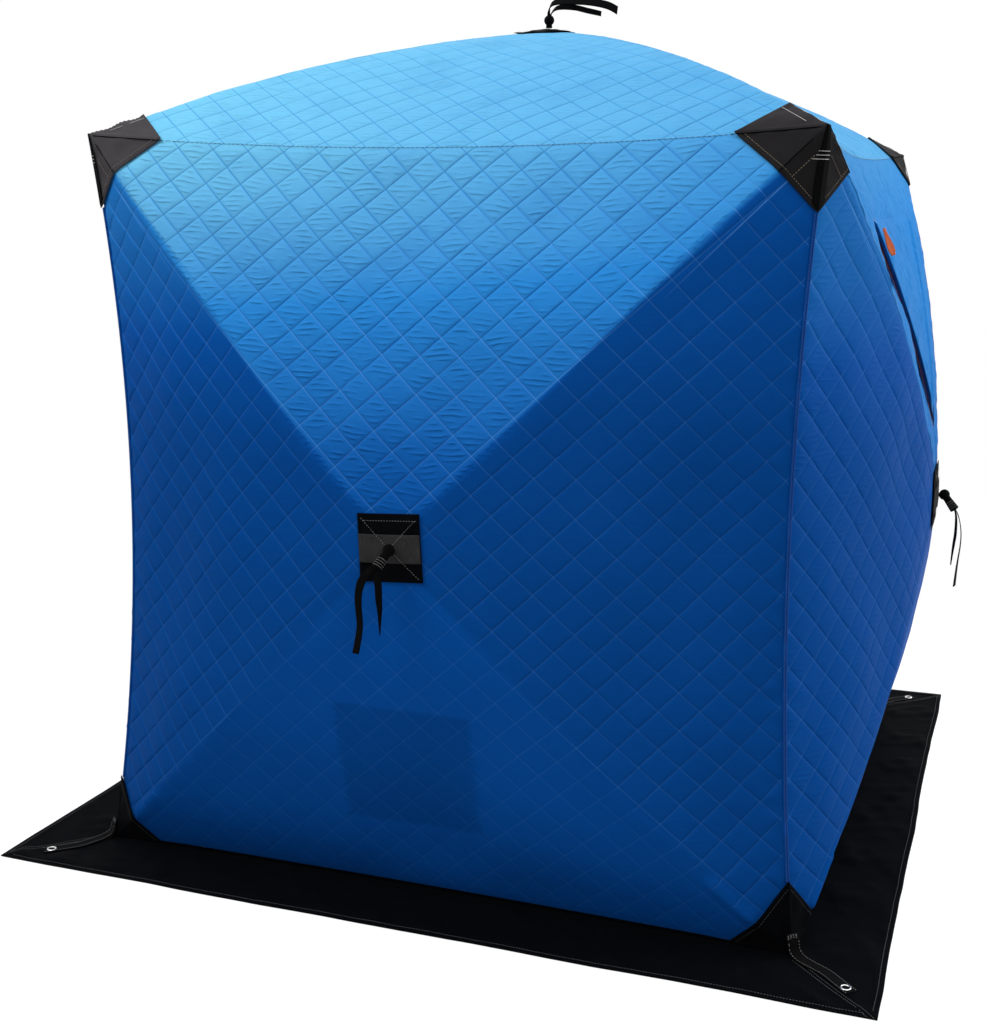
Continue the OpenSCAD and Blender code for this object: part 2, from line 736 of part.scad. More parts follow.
module back_pull() {
  color(BLACK) rotate([0, 0, 180]) wall_pull();
}
module left_pull() {
  color(BLACK) rotate([0, 0, 270]) wall_pull();
}
module roof_pull() {
  color(BLACK) translate([0, 0, roof_z]) standing_pull();
}

// Poles and hubs
function pole_at(roof, su, sv, t) =
  ridge(roof, corner_at(roof, su, sv), t)
  - pole_in * (out_of(roof) + t * t * (roof ? [su, sv, 0] : [su, 0, max(0, sv)]));
module pole(roof, su, sv) {
  p = pole_at(roof, su, sv, pole_from);
  m = pole_at(roof, su, sv, (pole_from + pole_to) / 2);
  q = pole_at(roof, su, sv, pole_to);
  e = pole_at(roof, su, sv, pole_to - 0.02);
  bowed_bar(p, m, q, pole_d);
  bar(q - unit(q - e) * tip_len, q + unit(q - e) * 2, tip_d);
}
module four_poles(roof) {
  for (su = [-1, 1], sv = [-1, 1]) pole(roof, su, sv);
}
module wall_poles() {
  color(GLASS_FIBRE)
    for (k = [0 : 3])
      rotate([0, 0, 90 * k]) four_poles(false);
}
module roof_poles() {
  color(GLASS_FIBRE) four_poles(true);
}
function drop_at(roof, r) = (hub_at(roof) - cloth(roof, [r / top_half, 0], 0)) * out_of(roof);
module hub(roof) {
  z1 = -cloth_t - hub_back - drop_at(roof, hub_r);
  z0 = z1 - hub_t;
  z2 = -cloth_t - boss_gap - drop_at(roof, boss_r);
  difference() {
    union() {
      translate(hub_at(roof))
        rotate(roof ? [0, 0, 0] : [90, 0, 0]) {
          rotate_extrude($fn = 64)
            polygon([
              [0, z0], [hub_r - 5, z0], [hub_r, z0 + 5], [hub_r, z1 - 4], [hub_r - 4, z1],
              [boss_r, z1], [boss_r, z2], [0, z2]
            ]);
        }
      for (su = [-1, 1], sv = [-1, 1]) {
        p = pole_at(roof, su, sv, pole_from);
        q = pole_at(roof, su, sv, pole_from + 0.04);
        bar(p - unit(q - p) * 24, p + unit(q - p) * (socket_len - 45), socket_d);
      }
    }
    for (su = [-1, 1], sv = [-1, 1]) {
      p = pole_at(roof, su, sv, pole_from);
      q = pole_at(roof, su, sv, pole_from + 0.04);
      bar(p - unit(q - p) * 0.3, p + unit(q - p) * (socket_len + 5), pole_d + socket_gap);
    }
  }
}
module front_hub() {
  color(CHARCOAL) hub(false);
}
module right_hub() {
  color(CHARCOAL) rotate([0, 0, 90]) hub(false);
}
module back_hub() {
  color(CHARCOAL) rotate([0, 0, 180]) hub(false);
}
module left_hub() {
  color(CHARCOAL) rotate([0, 0, 270]) hub(false);
}
module roof_hub() {
  color(CHARCOAL) hub(true);
}

// Pocket on the inside of the front wall
module storage_pocket() {
  p = pocket_half / base_half;
  color(DEEP)
    slab(square_net(-p, p, v_of_z(pocket_low), v_of_z(pocket_high), 4, 5),
      -cloth_t - layer_gap, -cloth_t - layer_gap - pocket_t);
}

front_wall();
right_wall();
back_wall();
left_wall();
roof();
right_window_cover();
left_window_cover();
door_panel();
right_window_zip();
left_window_zip();
door_zip();
zip_pulls();
front_skirt();
right_skirt();
back_skirt();
left_skirt();
front_right_cap();
back_right_cap();
back_left_cap();
front_left_cap();
front_right_foot();
back_right_foot();
back_left_foot();
front_left_foot();
seam_bindings();
anchor_straps();
grommets();
front_patch();
right_patch();
back_patch();
left_patch();
roof_patch();
front_pull();
right_pull();
back_pull();
left_pull();
roof_pull();
front_hub();
right_hub();
back_hub();
left_hub();
roof_hub();
wall_poles();
roof_poles();
storage_pocket();
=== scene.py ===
"""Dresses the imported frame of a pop-up ice fishing hut in quilted cloth, caps, straps and a skirt."""

import math

import bmesh
import bpy
import numpy as np
from bpy.props import FloatProperty, FloatVectorProperty, PointerProperty
from bpy.types import Operator, Panel, PropertyGroup
from mathutils import Matrix, Vector


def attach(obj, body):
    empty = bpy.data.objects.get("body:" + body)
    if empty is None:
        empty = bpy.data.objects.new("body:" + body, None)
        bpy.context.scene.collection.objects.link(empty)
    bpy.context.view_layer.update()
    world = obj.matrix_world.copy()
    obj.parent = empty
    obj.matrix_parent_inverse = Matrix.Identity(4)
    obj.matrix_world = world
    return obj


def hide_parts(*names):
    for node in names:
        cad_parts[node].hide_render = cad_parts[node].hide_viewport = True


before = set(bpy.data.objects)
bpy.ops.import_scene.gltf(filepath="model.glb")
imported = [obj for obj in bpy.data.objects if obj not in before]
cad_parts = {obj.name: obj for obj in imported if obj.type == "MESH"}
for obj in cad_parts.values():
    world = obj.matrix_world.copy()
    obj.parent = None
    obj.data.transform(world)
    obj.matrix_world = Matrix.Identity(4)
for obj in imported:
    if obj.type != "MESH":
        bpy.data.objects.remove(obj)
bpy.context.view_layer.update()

bl_info = {
    "name": "Ice Fishing Hut",
    "version": (1, 0, 0),
    "blender": (4, 5, 0),
    "location": "3D View > Sidebar > Hut",
    "description": "Quilted cloth, corner caps, straps and a ground skirt for a pop-up hut",
    "category": "Add Mesh",
}

SIDES = ("front", "right", "back", "left")
PANELS = (*SIDES, "roof")
CORNERS = ("front_right", "back_right", "back_left", "front_left")
# Outward and sideways at the front right corner
OUTWARD = np.array((math.sqrt(0.5), -math.sqrt(0.5), 0.0))
ASIDE = np.array((math.sqrt(0.5), math.sqrt(0.5), 0.0))
MM = 0.001
# Where the mesh lines stand inside one diamond of the quilt: close together beside the stitching
STEPS = (0.0, 0.02, 0.045, 0.09, 0.24, 0.5, 0.76, 0.91, 0.955, 0.98)
LINING_CELLS = 48
# Metres beside a pole's line for one unit of difference between u and v
POLE_SCALE = 0.61
# Where a window's zip starts and stops along the slanted sides, from -1 to 1
ZIP_ENDS = (-0.985, 0.93)
# Radii of the roll under a wall's knot, at the knot and at the tails
ROLL = (0.0085, 0.0115)
WHITE = (1.0, 1.0, 1.0, 1.0)
SENSOR = 36.0
FLOOR_HALF = 40.0
# Distances from the middle between which the floor turns plain white
FLOOR_FADE = (1.3, 2.6)
# Name, place, size and power property of each lamp
LAMPS = (
    ("overhead_light", (0.0, 0.0, 3.6), 8.0, "overhead"),
    ("front_light", (-3.0, -3.5, 5.5), 3.0, "key"),
    ("low_light", (3.0, -5.0, 2.5), 3.0, "fill"),
    ("side_light", (4.5, 2.0, 2.5), 3.0, "side"),
)


# Properties


def length(name, description, default):
    """A size in metres that the user can change."""
    return FloatProperty(name=name, description=description, default=default, unit="LENGTH", precision=4)


def colour(name, description, default):
    """A linear colour that the user can change."""
    return FloatVectorProperty(
        name=name, description=description, default=default, subtype="COLOR", size=3, min=0.0, max=1.0)


def share(name, description, default):
    """A plain factor that the user can change."""
    return FloatProperty(name=name, description=description, default=default, subtype="FACTOR", min=0.0, max=4.0)


def angle(name, description, degrees):
    """An angle that the user can change, given here in degrees."""
    return FloatProperty(name=name, description=description, default=math.radians(degrees), subtype="ANGLE")


def power(name, description, default):
    """A lamp's power in watts that the user can change."""
    return FloatProperty(name=name, description=description, default=default, unit="POWER")


class HutShape(PropertyGroup):
    """The tensioned cloth as the frame holds it; these follow the CAD model."""

    base_half: length("Base half width", "Half the distance between two lower corners", 0.860)
    top_half: length("Top half width", "Half the distance between two upper corners", 0.845)
    corner_z: length("Corner height", "Height of the upper corners", 1.750)
    hub_reach: length("Hub reach", "Distance of a wall hub from the middle", 1.055)
    hub_z: length("Hub height", "Height of the wall hubs", 0.880)
    roof_z: length("Roof height", "Height of the roof cloth at its hub", 2.045)
    wall_bow: length("Wall bow", "How far a wall pole bows outward", 0.036)
    roof_bow: length("Roof bow", "How far a roof pole bows outward", 0.041)
    side_sag: length("Side sag", "How far an upright seam is drawn in", 0.048)
    top_sag: length("Top sag", "How far a roof seam is drawn in and down", 0.032)
    base_sag: length("Base sag", "How far the lower edge is drawn in", 0.012)
    cloth_t: length("Cloth thickness", "Thickness of the quilted cloth", 0.006)
    layer_gap: length("Layer gap", "Gap under a layer that is sewn on", 0.0008)
    layer_t: length("Layer thickness", "Thickness of a layer that is sewn on", 0.002)
    ridge_round: share("Ridge rounding", "Half width of the rounding over a pole, as a share of the panel", 0.007)


class HutQuilt(PropertyGroup):
    """The quilting of walls, roof and door."""

    pitch: length("Pitch", "Width of a diamond", 0.0891)
    rise: share("Rise", "Slope of the stitch lines that climb to the right", 0.92)
    fall: share("Fall", "Slope of the stitch lines that climb to the left", 0.915)
    puff: length("Puff", "Height of a filled diamond over its stitching", 0.0036)
    flank: share("Flank", "Width of a filled diamond's sloping edge", 0.030)
    pucker: length("Pucker", "Height of the small puckers inside the diamonds", 0.0010)
    pucker_pitch: length("Pucker pitch", "Distance from one pucker to the next", 0.030)
    drape: length("Drape", "Depth of the slack, wide waves in the cloth", 0.0028)
    seam_dip: length("Seam dip", "Depth of the groove where two sheets are sewn together", 0.0012)


class HutTrim(PropertyGroup):
    """Corner caps, patches, windows, door, straps and skirt; nearly all follow the CAD model."""

    cap_drop: length("Cap drop", "Length of an upper cap down the upright seam", 0.170)
    cap_run: length("Cap run", "Length of an upper cap along the roof seams", 0.187)
    foot_rise: length("Foot rise", "Length of a lower cap up the upright seam", 0.165)
    foot_run: length("Foot run", "Length of a lower cap along the ground edge", 0.148)
    bind_w: length("Binding width", "Width of the binding on an upright seam", 0.012)
    bind_t: length("Binding thickness", "Thickness of the binding", 0.0024)
    patch_half: length("Patch half width", "Half the side of a hub patch", 0.072)
    patch_turn: angle("Patch turn", "Angle by which a patch is sewn askew", 3.2)
    strap_w: length("Pull strap width", "Width of a pull strap", 0.022)
    strap_t: length("Pull strap thickness", "Thickness of a pull strap", 0.0022)
    knot_out: length("Knot distance", "Distance of the knot from its patch", 0.024)
    knot_r: length("Knot radius", "Radius of the knot", 0.014)
    neck_d: length("Neck diameter", "Diameter of the twisted neck under the knot", 0.013)
    tail_long: length("Long tail", "Length of the longer hanging tail", 0.220)
    tail_short: length("Short tail", "Length of the shorter hanging tail", 0.175)
    roof_strap_rise: length("Roof strap rise", "Height of the roof strap's bend", 0.074)
    roof_strap_run: length("Roof strap run", "Length of the roof strap's drooping part", 0.185)
    win_top: length("Window top", "Height of a window's upper edge", 1.540)
    win_tip: length("Window tip", "Height of a window's lower point", 1.120)
    win_half: length("Window half width", "Half the width of a window's upper edge", 0.400)
    win_rise: length("Window rise", "How far the cover's sewn cloth runs on above its overlap", 0.022)
    win_lap: length("Window lap", "Overlap of the cover around the window", 0.026)
    cover_t: length("Cover thickness", "Thickness of a window cover", 0.0035)
    zip_w: length("Zip width", "Width of a window's zip tape", 0.016)
    zip_gap: length("Zip gap", "Gap between the cover's edge and the zip", 0.002)
    zip_t: length("Zip thickness", "Thickness of a zip", 0.003)
    pull_len: length("Zip pull length", "Length of a zip pull", 0.080)
    pull_w: length("Zip pull width", "Width of a zip pull", 0.020)
    pull_side: length("Zip pull place", "Distance of a window's pull from the window's middle", 0.330)
    door_edge: length("Door edge", "Distance of the door's straight edge from the wall's middle", 0.740)
    door_deep: length("Door depth", "Depth of the door's round edge", 0.330)
    door_half: length("Door half height", "Half the height of the door", 0.620)
    door_round_off: length("Door rounding", "Extra half height of the door's oval", 0.012)
    door_gap: length("Door gap", "Gap between the door and the wall", 0.009)
    door_zip_w: length("Door zip width", "Width of the door's zip tape", 0.030)
    pocket_half: length("Pocket half width", "Half the width of the inside pocket", 0.162)
    pocket_low: length("Pocket low edge", "Height of the pocket's lower edge", 0.200)
    pocket_high: length("Pocket high edge", "Height of the pocket's upper edge", 0.505)
    pocket_t: length("Pocket thickness", "Thickness of the pocket", 0.003)
    skirt_half: length("Skirt half width", "Half the width over the outer hems", 1.060)
    skirt_t: length("Skirt thickness", "Thickness of the skirt", 0.003)
    skirt_rise: length("Skirt rise", "Height to which the skirt is sewn up the wall", 0.014)
    skirt_step: length("Skirt step", "Extra gap where the skirt passes over a lower cap", 0.0024)
    skirt_ramp: length("Skirt ramp", "Length over which the skirt rises to a lower cap", 0.060)
    skirt_turn: length("Skirt turn", "Width of the turn between wall and ground", 0.008)
    skirt_wave: length("Skirt waves", "Height of the slack waves in the skirt", 0.0042)
    anchor_out: length("Anchor distance", "Distance of a grommet from the lower corner", 0.165)
    anchor_shift: length("Anchor shift", "How far a grommet lies beside the corner's diagonal", 0.018)
    anchor_tail: length("Anchor tail", "Length of strap beyond the grommet", 0.034)
    anchor_w: length("Anchor width", "Width of an anchor strap", 0.040)
    anchor_t: length("Anchor thickness", "Thickness of an anchor strap", 0.0025)
    anchor_z: length("Anchor height", "Height of the underside of the strap's loose end", 0.0040)
    grommet_r: length("Grommet hole", "Radius of a grommet's hole", 0.006)
    flange_r: length("Grommet radius", "Radius of a grommet's flange", 0.012)


class HutColours(PropertyGroup):
    """Base colours of the finishes."""

    # Painted light and shade: blue, roof and deep are lit and shaded copies of one blue cloth, pale on the roof and
    # dark low on a wall; deep also gives the binding and the pocket their own colour.
    blue: colour("Blue", "Quilted cloth high on a wall", (0.030, 0.30, 0.82))
    roof: colour("Roof blue", "Quilted cloth of the roof", (0.195, 0.64, 0.96))
    deep: colour("Deep blue", "Quilted cloth low on a wall", (0.0034, 0.106, 0.485))
    thread: colour("Quilting thread", "Thread of the quilting", (0.14, 0.42, 0.94))
    lining: colour("Lining", "Inner side of the quilted cloth", (0.10, 0.13, 0.17))
    # navy is the zip tape's own colour, and also the painted shade of the line along the roof seams.
    navy: colour("Navy", "Shaded line of a seam", (0.006, 0.018, 0.10))
    charcoal: colour("Charcoal", "Cloth of the upper caps", (0.0240, 0.0226, 0.0246))
    black: colour("Black", "Cloth of the skirt, the feet and the patches", (0.0030, 0.0034, 0.0045))
    webbing: colour("Webbing", "Straps", (0.0045, 0.0047, 0.0052))
    band: colour("Grey band", "Band across a hub patch", (0.048, 0.048, 0.050))
    tan: colour("Tan thread", "Stitching of the caps", (0.42, 0.34, 0.22))
    pale: colour("Pale thread", "Stitching of skirt, straps and patches", (0.46, 0.46, 0.46))
    orange: colour("Orange", "Zip pulls", (0.98, 0.170, 0.032))
    nickel: colour("Nickel", "Grommets", (0.80, 0.79, 0.77))
    hub: colour("Hub plastic", "Hubs", (0.018, 0.018, 0.020))
    pole: colour("Glass fibre", "Poles", (0.028, 0.029, 0.031))


class HutStage(PropertyGroup):
    """Camera, light and floor."""

    eye: FloatVectorProperty(
        name="Eye", description="Place of the camera", default=(1.2383, -3.8131, 1.5927),
        subtype="TRANSLATION", size=3)
    yaw: angle("Yaw", "Turn of the camera from +Y", -19.97)
    pitch: angle("Pitch", "Tilt of the camera", -11.85)
    roll: angle("Roll", "Roll of the camera", 0.35)
    lens: FloatProperty(name="Lens", description="Focal length", default=51.169, unit="CAMERA")
    overhead: power("Overhead", "Power of the overhead light", 126.0)
    key: power("Key", "Power of the high front light", 158.0)
    fill: power("Fill", "Power of the low front light", 60.0)
    side: power("Side", "Power of the light on the right", 110.0)
    ambient: share("Ambient", "Strength of the even light from all round", 0.05)


def hut(group):
    """One of the scene's property groups."""
    return getattr(bpy.context.scene, "hut_" + group)


# Numbers and points


def lerp(a, b, k):
    return a + (b - a) * k


def smooth(lo, hi, x):
    """0 below lo, 1 above hi and a soft step between them."""
    k = np.clip((x - lo) / (hi - lo), 0.0, 1.0)
    return k * k * (3.0 - 2.0 * k)


def unit(v):
    return v / np.linalg.norm(v, axis=-1, keepdims=True)


def stack(*parts):
    """Columns of coordinates from arrays and plain numbers."""
    return np.stack(np.broadcast_arrays(*parts), axis=-1).astype(float)


def ripple(x, y, pitch, seed, heading=0.0, spread=math.pi, waves=9):
    """A smooth random field with about unit height, from seeded waves of one rough pitch."""
    rng = np.random.default_rng(seed)
    total = np.zeros_like(x)
    for _ in range(waves):
        angle = heading + rng.uniform(-spread, spread)
        rate = 2.0 * math.pi / (pitch * rng.uniform(0.7, 1.45))
        total += np.sin(rate * (x * math.cos(angle) + y * math.sin(angle)) + rng.uniform(0.0, 2.0 * math.pi))
    return total / math.sqrt(waves * 0.5)


def scatter(i, j, seed):
    """A repeatable random number from 0 to 1 for each cell i, j."""
    return np.modf(np.abs(np.sin(i * 127.1 + j * 311.7 + seed * 74.7) * 43758.5453))[0]


def spline(points, count):
    """Points along a Catmull-Rom curve."""
    p = np.array(points, float)
    x = np.linspace(0.0, len(p) - 1.0, count)
    i = np.minimum(x.astype(int), len(p) - 2)
    k = (x - i)[:, None]
    a, b, c, d = p[np.maximum(i - 1, 0)], p[i], p[i + 1], p[np.minimum(i + 2, len(p) - 1)]
    return 0.5 * (2 * b + (c - a) * k + (2 * a - 5 * b + 4 * c - d) * k**2 + (3 * b - a - 3 * c + d) * k**3)


def turned(p, turns):
    """Points turned by quarter turns about the upright axis."""
    for _ in range(turns % 4):
        p = stack(-p[..., 1], p[..., 0], p[..., 2])
    return p


class Cloth:
    """One tensioned sheet, a wall or the roof: u and v run from -1 to 1 and the hub is at 0, 0."""

    def __init__(self, side):
        s = hut("shape")
        self.s, self.side, self.roof = s, side, side == "roof"
        self.node = side if self.roof else side + "_wall"
        self.turns = 0 if self.roof else SIDES.index(side)
        self.hub = np.array((0.0, 0.0, s.roof_z) if self.roof else (0.0, -s.hub_reach, s.hub_z))
        self.out = np.array((0.0, 0.0, 1.0) if self.roof else (0.0, -1.0, 0.0))
        self.bow = s.roof_bow if self.roof else s.wall_bow

    def corner(self, su, sv):
        s = self.s
        if self.roof:
            return stack(su * s.top_half, sv * s.top_half, s.corner_z)
        half = np.where(sv > 0, s.top_half, s.base_half)
        return stack(su * half, -half, np.where(sv > 0, s.corner_z, 0.0))

    def ridge(self, corner, t):
        """A point on the pole's line, t of the way from the hub to a corner."""
        arm = corner - self.hub
        along = unit(arm)
        rise = unit(self.out - (along @ self.out)[..., None] * along)
        return self.hub + arm * t[..., None] + (4.0 * self.bow * t * (1.0 - t))[..., None] * rise

    def sag(self, sign, upright):
        s, zero = self.s, np.zeros_like(sign)
        if self.roof:
            inward = -sign * s.top_sag
            return stack(zero, inward, -s.top_sag) if upright else stack(inward, zero, -s.top_sag)
        if upright:
            return stack(zero, np.where(sign > 0, s.top_sag, s.base_sag), np.where(sign > 0, -s.top_sag, 0.0))
        return stack(-sign * s.side_sag, s.side_sag, zero)

    def panels(self, u, v, upright):
        """The sheet as its upper and lower panels have it, or else as its side panels have it."""
        a, b = (v, u) if upright else (u, v)
        t = np.maximum(np.abs(a), 1e-6)
        sign, one = np.where(a < 0, -1.0, 1.0), np.ones_like(t)
        ends = ((-one, sign), (one, sign)) if upright else ((sign, -one), (sign, one))
        first, last = (self.ridge(self.corner(*end), t) for end in ends)
        s = (b / t + 1.0) / 2.0
        return lerp(first, last, s[..., None]) + (4.0 * s * (1.0 - s) * t * t)[..., None] * self.sag(sign, upright)

    def points(self, u, v, d=0.0):
        """Points at u, v that stand d out from the outer face, in the row frame."""
        u, v, d = (np.asarray(x, float) for x in np.broadcast_arrays(u, v, d))
        soft = self.s.ridge_round
        k = smooth(-soft, soft, np.abs(v) - np.abs(u))[..., None]
        base = lerp(self.panels(u, v, False), self.panels(u, v, True), k)
        lean = stack(u, v, 0.0) if self.roof else stack(u, 0.0, np.maximum(v, 0.0))
        swell = self.out + np.maximum(np.abs(u), np.abs(v))[..., None] * lean
        return turned(base + d[..., None] * swell, self.turns)

    def v_of_z(self, z):
        s = self.s
        return (z - s.hub_z) / np.where(np.asarray(z) >= s.hub_z, s.corner_z - s.hub_z, s.hub_z)


# Meshes and pieces


def plain_grid(across, along):
    """A flat grid from -1 to 1."""
    bm = bmesh.new()
    bmesh.ops.create_grid(bm, x_segments=across, y_segments=along, size=1.0)
    return bm


def piece(name, bm, finishes, nodes=(), place=None):
    """Turns a bmesh into a riding piece. place maps its points and may give attributes for them."""
    mesh = bpy.data.meshes.new(name)
    bm.to_mesh(mesh)
    bm.free()
    for finish in finishes:
        mesh.materials.append(FINISHES[finish]())
    if place:
        flat = np.empty(len(mesh.vertices) * 3, np.float32)
        mesh.vertices.foreach_get("co", flat)
        points, values = place(flat.reshape(-1, 3).astype(float))
        mesh.vertices.foreach_set("co", points.astype(np.float32).ravel())
        for key, value in values.items():
            made = mesh.attributes.new(key, "FLOAT_VECTOR", "POINT")
            made.data.foreach_set("vector", value.astype(np.float32).ravel())
    mesh.shade_smooth()
    mesh.update()
    obj = bpy.data.objects.new(name, mesh)
    bpy.context.scene.collection.objects.link(obj)
    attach(obj, "root")
    if nodes:
        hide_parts(*nodes)
    return obj


def thicken(obj, thickness):
    """Gives a sheet its thickness inward, with a live modifier."""
    made = obj.modifiers.new("Thickness", "SOLIDIFY")
    made.thickness, made.offset, made.use_even_offset = thickness, -1.0, False
    return obj


def move(verts, points):
    for vert, point in zip(verts, points):
        vert.co = point


def face_out(bm):
    """Turns an open cover so that its faces look away from the hut."""
    middle = Vector((0.0, 0.0, 0.9))
    outward = sum((f.normal @ (f.calc_center_median() - middle)) * f.calc_area() for f in bm.faces)
    if outward < 0:
        bmesh.ops.reverse_faces(bm, faces=bm.faces)


def spun_ring(bm, turn, middle, radii, segments, steps):
    """A ring about the turn's own Z axis, spun from an oval profile."""
    made = bmesh.ops.create_circle(
        bm, segments=segments, radius=1.0, matrix=turn @ Matrix.Translation((middle, 0, 0))
        @ Matrix.Rotation(math.pi / 2, 4, "X") @ Matrix.Diagonal((*radii, 1.0, 1.0)))["verts"]
    edges = list({e for v in made for e in v.link_edges})
    bmesh.ops.spin(
        bm, geom=[*made, *edges], cent=turn.translation, axis=turn.to_3x3() @ Vector((0, 0, 1)),
        angle=2 * math.pi, steps=steps, use_merge=True)


def join_up(bm):
    bmesh.ops.remove_doubles(bm, verts=bm.verts, dist=1e-5)
    bmesh.ops.recalc_face_normals(bm, faces=bm.faces)


def quilt_rates():
    """How many stitch lines there are for each unit of u and of v."""
    q, s = hut("quilt"), hut("shape")
    high = s.corner_z / 2.0 / q.pitch
    return s.base_half / q.pitch, high / q.rise, high / q.fall


def quilt_lines(u, v):
    """Counts the stitch lines of both families at u, v; a line lies at each half number."""
    across, rise, fall = quilt_rates()
    return across * u - rise * v, across * u + fall * v


def quilt_place(p, q):
    """The u, v at which two stitch lines cross."""
    across, rise, fall = quilt_rates()
    return (fall * p + rise * q) / (across * (rise + fall)), (q - p) / (rise + fall)


def stepped(row):
    """Where a mesh line stands, counted in diamonds."""
    whole, part = divmod(round(row), len(STEPS))
    return whole + STEPS[part]


def quilt_sheet():
    """A flat quilt over u and v with its lining below it, whose mesh lines lie on the stitch lines."""
    lines = quilt_lines(1.0, 1.0)[1], quilt_lines(1.0, -1.0)[0]
    reach = [math.ceil(most) + 0.5 for most in (lines[1], lines[0])]
    rows = [round(2 * r) * len(STEPS) for r in reach]
    bm = bmesh.new()
    bmesh.ops.create_grid(bm, x_segments=rows[0], y_segments=rows[1], size=1.0)
    for vert in bm.verts:
        p, q = (stepped((c + 1.0) / 2.0 * n) - r for c, n, r in zip(vert.co.xy, rows, reach))
        vert.co.xy = quilt_place(p, q)
    for axis in ((1, 0, 0), (-1, 0, 0), (0, 1, 0), (0, -1, 0)):
        bmesh.ops.bisect_plane(
            bm, geom=[*bm.verts, *bm.edges, *bm.faces], dist=1e-5, plane_co=axis, plane_no=axis, clear_outer=True)
    below = bmesh.ops.create_grid(bm, x_segments=LINING_CELLS, y_segments=LINING_CELLS, size=1.0)["verts"]
    bmesh.ops.translate(bm, verts=below, vec=(0.0, 0.0, -1.0))
    lining = {f for vert in below for f in vert.link_faces}
    bmesh.ops.reverse_faces(bm, faces=list(lining))
    for f in lining:
        f.material_index = 1
    return bm


def cut_outline(bm, outline, keep_inside):
    """Cuts a convex outline through a flat sheet, and keeps what is inside it or what is outside."""
    margin = 2.2 / LINING_CELLS
    ends = [(Vector(a), Vector(b)) for a, b in zip(outline, [*outline[1:], outline[0]])]
    low, high = (Vector(f(c) for c in zip(*outline)) for f in (min, max))
    for a, b in ends:
        along = (b - a).normalized()
        across = Vector((along.y, -along.x))
        near = []
        for f in bm.faces:
            co = f.verts[0].co
            if low.x - margin < co.x < high.x + margin and low.y - margin < co.y < high.y + margin:
                off = co.xy - a
                if abs(off @ across) < margin and -margin < off @ along < (b - a).length + margin:
                    near.append(f)
        geom = {*near, *(e for f in near for e in f.edges), *(v for f in near for v in f.verts)}
        bmesh.ops.bisect_plane(bm, geom=list(geom), dist=1e-6, plane_co=(*a, 0), plane_no=(*across, 0))
    gone = []
    for f in bm.faces:
        mid = f.calc_center_median().xy
        inside = all((mid - a).x * (b - a).y - (mid - a).y * (b - a).x < 0 for a, b in ends)
        if inside != keep_inside:
            gone.append(f)
    bmesh.ops.delete(bm, geom=gone, context="FACES")


def close_rims(bm):
    """Joins a quilt and its lining along their outer rim and round their hole."""
    rim = [e for e in bm.edges if e.is_boundary]
    outer = [e for e in rim if all(max(abs(v.co.x), abs(v.co.y)) > 0.9999 for v in e.verts)]
    inner = list(set(rim) - set(outer))
    for edges in (outer, inner):
        for e in edges:
            e.smooth = False
        if edges:
            bmesh.ops.bridge_loops(bm, edges=edges)
    bmesh.ops.recalc_face_normals(bm, faces=bm.faces)


# Shader nodes


class Wire:
    """An output socket in a finish. Arithmetic on wires adds Math nodes."""

    def __init__(self, finish, socket):
        self.finish, self.socket = finish, socket

    def math(self, operation, *others):
        return self.finish.node("ShaderNodeMath", {"operation": operation}, (self, *others))

    def __add__(self, other):
        return self.math("ADD", other)

    def __sub__(self, other):
        return self.math("SUBTRACT", other)

    def __rsub__(self, other):
        return self.finish.node("ShaderNodeMath", {"operation": "SUBTRACT"}, (other, self))

    def __mul__(self, other):
        return self.math("MULTIPLY", other)

    def __truediv__(self, other):
        return self.math("DIVIDE", other)

    def __lt__(self, other):
        return self.math("LESS_THAN", other)

    def __abs__(self):
        return self.math("ABSOLUTE")

    __radd__, __rmul__ = __add__, __mul__

    def fract(self):
        return self.math("FRACT")

    def ramp(self, lo, hi):
        """0 below lo, 1 above hi and a straight slope between them."""
        return self.finish.node("ShaderNodeMapRange", None, (self, lo, hi, 0.0, 1.0))

    def step(self, lo, hi):
        """0 below lo, 1 above hi and a soft step between them."""
        return self.finish.node(
            "ShaderNodeMapRange", {"interpolation_type": "SMOOTHSTEP"}, (self, lo, hi, 0.0, 1.0))


